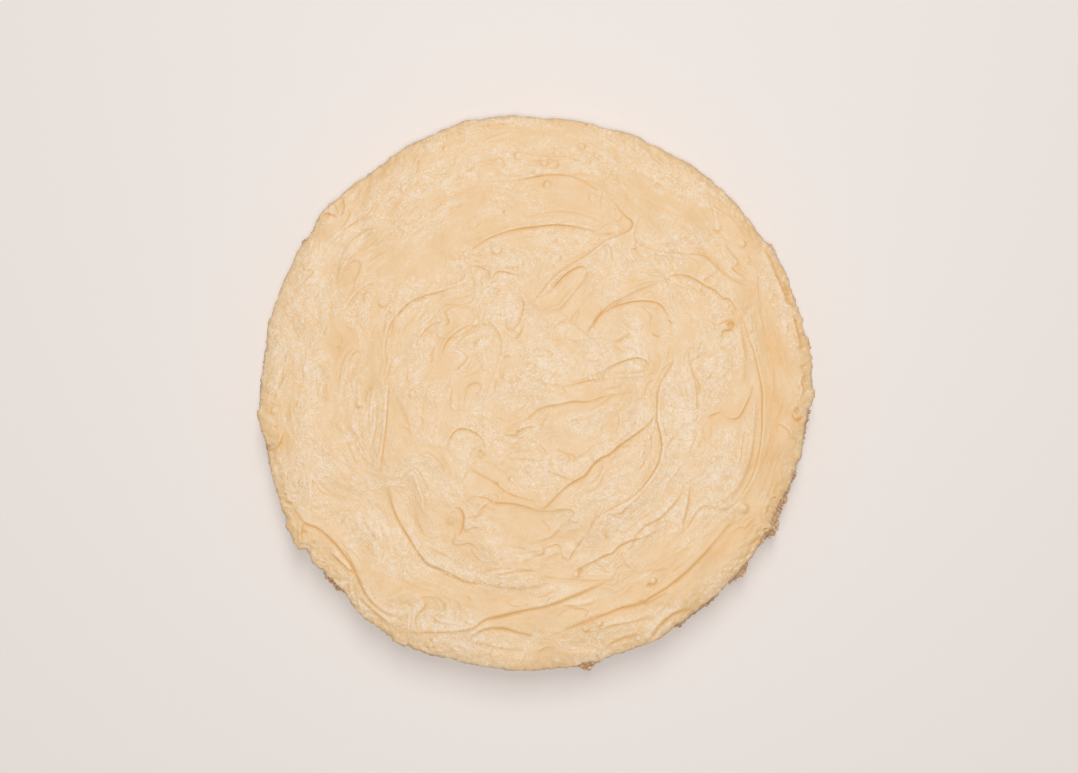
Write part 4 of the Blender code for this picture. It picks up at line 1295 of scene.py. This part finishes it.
def shape_base(settings, data):
    """Moves the strip's vertices onto the base's section and opens its crumb.

    The section runs from the top down, which turns the strip inside out, so its faces are flipped.
    """
    cage = vertex_places(data)
    angle = np.degrees(np.arctan2(cage[:, 1], cage[:, 0])) % 360
    inset, height = base_profile(cage[:, 2])
    places = on_circle(angle, base_edge(settings, angle, height) - inset, height)
    lumps = smooth_noise(places / CRUMB_LUMP, 21)
    sway = np.stack([smooth_noise(places / CRUMB_SWAY, seed) for seed in (24, 25, 26)], axis=1)
    grains, gaps = cell_noise(places / CRUMB_CELL + 0.35 * sway, 22)
    bits, _ = cell_noise(places / CRUMB_BIT + 0.3 * sway, 23)
    depth = settings.relief * (0.8 * lumps + 1.3 * (0.55 - grains) + 0.7 * (0.5 - bits))
    on_side = np.where(inset < 1e-9, 1.0, 0.0) * ramp(height, 0, SMOOTH_FOOT)
    on_top = np.where(height > BASE_TOP - 1e-9, ramp(inset, *ROUGH_TOP), 0)
    places += on_circle(angle, depth * np.maximum(on_side, 0.5 * on_top))
    places[:, 2] += on_top * np.minimum(depth, TOP_RISE) * 0.8
    # The crevices between the crumb's grains, where the shader paints shade
    keep_attribute(data, "crevice", ramp(gaps, 0.22, 0.02))
    data.flip_normals()
    place_vertices(data, places)


class CAKE_OT_bake_base(bpy.types.Operator):
    """Makes the baked base with its open, craggy side"""

    bl_idname = "cake.bake_base"
    bl_label = "Bake Base"

    def execute(self, context):
        crumb = context.scene.cake_crumb
        data = mesh_data("baked_base", base_cage())
        shape_base(crumb, data)
        piece = finish_piece("baked_base", data, crumb_material(crumb, "baked_crumb", 0.0))
        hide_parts("cookie_base")
        return {"FINISHED"}


def unit_lump(detail):
    """Places and faces of a unit ball of triangles."""
    mesh = bmesh.new()
    bmesh.ops.create_icosphere(mesh, subdivisions=detail, radius=1.0)
    mesh.verts.ensure_lookup_table()
    places = np.array([vertex.co[:] for vertex in mesh.verts])
    faces = np.array([[vertex.index for vertex in face.verts] for face in mesh.faces])
    mesh.free()
    return places, faces


def random_turn(random):
    """A rotation matrix drawn evenly."""
    turn, _ = np.linalg.qr(random.normal(size=(3, 3)))
    return turn * np.sign(np.linalg.det(turn))


def joined_lumps(lumps, detail, roughness, seed):
    """One mesh of many uneven lumps. Each is a place and a 3x3 matrix that shapes it."""
    unit, faces = unit_lump(detail)
    places, corners = [], []
    for number, (centre, shape) in enumerate(lumps):
        bumps = 1 + roughness * smooth_noise(unit * 1.7 + 3.1 * number, seed)
        corners.append(faces + len(unit) * number)
        places.append(centre + (unit * bumps[:, None]) @ shape.T)
    data = bpy.data.meshes.new("lumps")
    data.from_pydata(np.concatenate(places).tolist(), [], np.concatenate(corners).tolist())
    data.update()
    return data


def crumb_lumps(settings):
    """Crumbs on the base's side, thickest where it broke."""
    random = np.random.default_rng(settings.seed)
    spots = np.linspace(0, 360, 1441)[:-1]
    density = 1 + CRAG_CRUMBS * sum(
        hump(apart(spots, crag.angle), CRAG_CRUMBS_WIDTH * crag.width) for crag in BASE_CRAGS
    )
    for middle, spread in CRUMBLY_ARCS:
        density += ARC_CRUMBS * hump(apart(spots, middle), spread)
    angles = random.choice(spots, settings.crumbs, p=density / density.sum())
    angles = angles + random.uniform(-0.125, 0.125, settings.crumbs)
    heights = BASE_TOP * random.beta(1.35, 0.9, settings.crumbs)
    edges = base_edge(settings, angles, heights)
    for angle, height, edge in zip(angles, heights, edges):
        size = MM * (LEAST_CRUMB + CRUMB_RANGE * random.beta(1.3, 3.0))
        centre = on_circle(np.array([angle]), edge + 0.4 * size)[0]
        centre[2] = np.clip(height, 1.4 * size, BASE_TOP - 0.3 * size)
        yield centre, random_turn(random) @ np.diag(size * random.uniform(0.65, 1.25, 3))


class CAKE_OT_scatter_crumbs(bpy.types.Operator):
    """Sticks loose crumbs to the base's side"""

    bl_idname = "cake.scatter_crumbs"
    bl_label = "Scatter Crumbs"

    def execute(self, context):
        crumb = context.scene.cake_crumb
        data = joined_lumps(crumb_lumps(crumb), detail=2, roughness=0.45, seed=31)
        finish_piece("stuck_crumbs", data, crumb_material(crumb, "loose_crumb", 0.08))
        return {"FINISHED"}


def smear_lumps(settings):
    """Flat lumps of cream pressed onto the base's side."""
    random = np.random.default_rng(settings.seed + 1)
    for angle, height, wide, tall in SMEARS:
        turn = math.radians(angle)
        edge = base_edge(settings, np.array([angle]), np.array([height * MM]))[0]
        centre = on_circle(np.array([angle]), edge + SMEAR_OUT)[0]
        centre[2] = height * MM
        out = np.array((math.cos(turn), math.sin(turn), 0))
        sideways = np.array((-math.sin(turn), math.cos(turn), 0))
        up = np.array((0, 0, 1)) + random.uniform(-0.3, 0.3) * sideways
        yield centre, np.stack((SMEAR_THICKNESS * out, wide * MM * sideways, tall * MM * up), axis=1)


class CAKE_OT_smear_cream(bpy.types.Operator):
    """Presses smears of cream onto the base's side, under the hanging lips"""

    bl_idname = "cake.smear_cream"
    bl_label = "Smear Cream"

    def execute(self, context):
        lumps = smear_lumps(context.scene.cake_crumb)
        data = joined_lumps(lumps, detail=4, roughness=0.9, seed=41)
        for name in ("flow", "lift", "lee", "tone", "pit", "ragged"):
            keep_attribute(data, name, np.zeros(len(data.vertices)))
        finish_piece("cream_smears", data, bpy.data.materials["satin_cream"])
        return {"FINISHED"}


def soft_light(name, place, sides, power):
    """A rectangle of light that looks at the middle of the cake."""
    lamp = bpy.data.lights.new(name, "AREA")
    lamp.shape = "RECTANGLE"
    lamp.size, lamp.size_y = sides
    lamp.energy = power
    lamp.color = LAMP_COLOUR
    thing = put_in_scene(name, lamp)
    thing.location = place
    thing.rotation_euler = (-thing.location).to_track_quat("-Z", "Y").to_euler()


def pale_floor(settings):
    """A wide floor of one pale tone with the faintest variation."""
    mesh = bmesh.new()
    bmesh.ops.create_grid(mesh, x_segments=8, y_segments=8, size=FLOOR_SIDE)
    data = mesh_data("floor", mesh)
    material, tree, shader, place = new_shader("pale_floor")
    shade = stepped(tree, noise_of(tree, place, FLOOR_CLOUDS), 0.2, 0.8, 0.05)
    darker = tuple(0.9 * share for share in settings.floor[:3]) + (1.0,)
    tree.links.new(mixed(tree, shade, settings.floor, darker), shader.inputs["Base Color"])
    shader.inputs["Roughness"].default_value = 0.55
    data.materials.append(material)
    floor = put_in_scene("floor", data)
    floor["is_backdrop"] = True


def even_room(settings):
    """Weak light from all round."""
    world = bpy.data.worlds.new("soft_room")
    world.use_nodes = True
    background = world.node_tree.nodes["Background"]
    background.inputs["Color"].default_value = ROOM_COLOUR
    background.inputs["Strength"].default_value = settings.fill
    return world


def overhead_camera(settings):
    """A camera straight over the cake, a little off its middle as in the photograph."""
    lens = bpy.data.cameras.new("overhead")
    lens.lens = settings.lens
    lens.sensor_width = 36.0
    camera = put_in_scene("overhead", lens)
    camera.location = (*VIEW_MIDDLE, CREAM_LEVEL + settings.eye)
    return camera


class CAKE_OT_set_stage(bpy.types.Operator):
    """Lays the pale floor and sets the soft light and the camera overhead"""

    bl_idname = "cake.set_stage"
    bl_label = "Set Stage"

    def execute(self, context):
        scene = context.scene
        stage = scene.cake_stage
        pale_floor(stage)
        sides = (stage.overhead_side, stage.overhead_side)
        soft_light("overhead_light", (0.02, -0.12, 2.3), sides, stage.overhead_power)
        sides = (stage.key_width, stage.key_depth)
        soft_light("key_light", (0.06, 0.95, 1.9), sides, stage.key_power)
        scene.world = even_room(stage)
        scene.camera = overhead_camera(stage)
        scene.view_settings.view_transform = "Standard"
        return {"FINISHED"}


class CAKE_PT_tools(bpy.types.Panel):
    """Lists the cake's settings and the steps that make it"""

    bl_label = "Cookie Cake"
    bl_idname = "CAKE_PT_tools"
    bl_space_type = "VIEW_3D"
    bl_region_type = "UI"
    bl_category = "Cookie Cake"

    def draw(self, context):
        for step in STEPS:
            self.layout.operator(step.bl_idname)
        for group in (context.scene.cake_cream, context.scene.cake_crumb, context.scene.cake_stage):
            box = self.layout.box()
            for name in group.__annotations__:
                box.prop(group, name)


STEPS = (
    CAKE_OT_spread_cream,
    CAKE_OT_bake_base,
    CAKE_OT_scatter_crumbs,
    CAKE_OT_smear_cream,
    CAKE_OT_set_stage,
)
GROUPS = {"cake_cream": CreamSettings, "cake_crumb": CrumbSettings, "cake_stage": StageSettings}
CLASSES = (*GROUPS.values(), *STEPS, CAKE_PT_tools)


def register():
    for item in CLASSES:
        bpy.utils.register_class(item)
    for name, group in GROUPS.items():
        setattr(bpy.types.Scene, name, PointerProperty(type=group))


def unregister():
    for name in GROUPS:
        delattr(bpy.types.Scene, name)
    for item in reversed(CLASSES):
        bpy.utils.unregister_class(item)


def write_sizes():
    """Gathers the box of the solids and of the finished pieces, lowest and highest corners, and does not
    keep them.
    """
    boxes = {"cad": CAD_BOUNDS, "visual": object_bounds()}
    {name: [list(corner) for corner in box] for name, box in boxes.items()}


def main():
    register()
    bpy.ops.cake.spread_cream()
    bpy.ops.cake.bake_base()
    bpy.ops.cake.scatter_crumbs()
    bpy.ops.cake.smear_cream()
    bpy.ops.cake.set_stage()
    write_sizes()


if __name__ == "__main__":
    main()
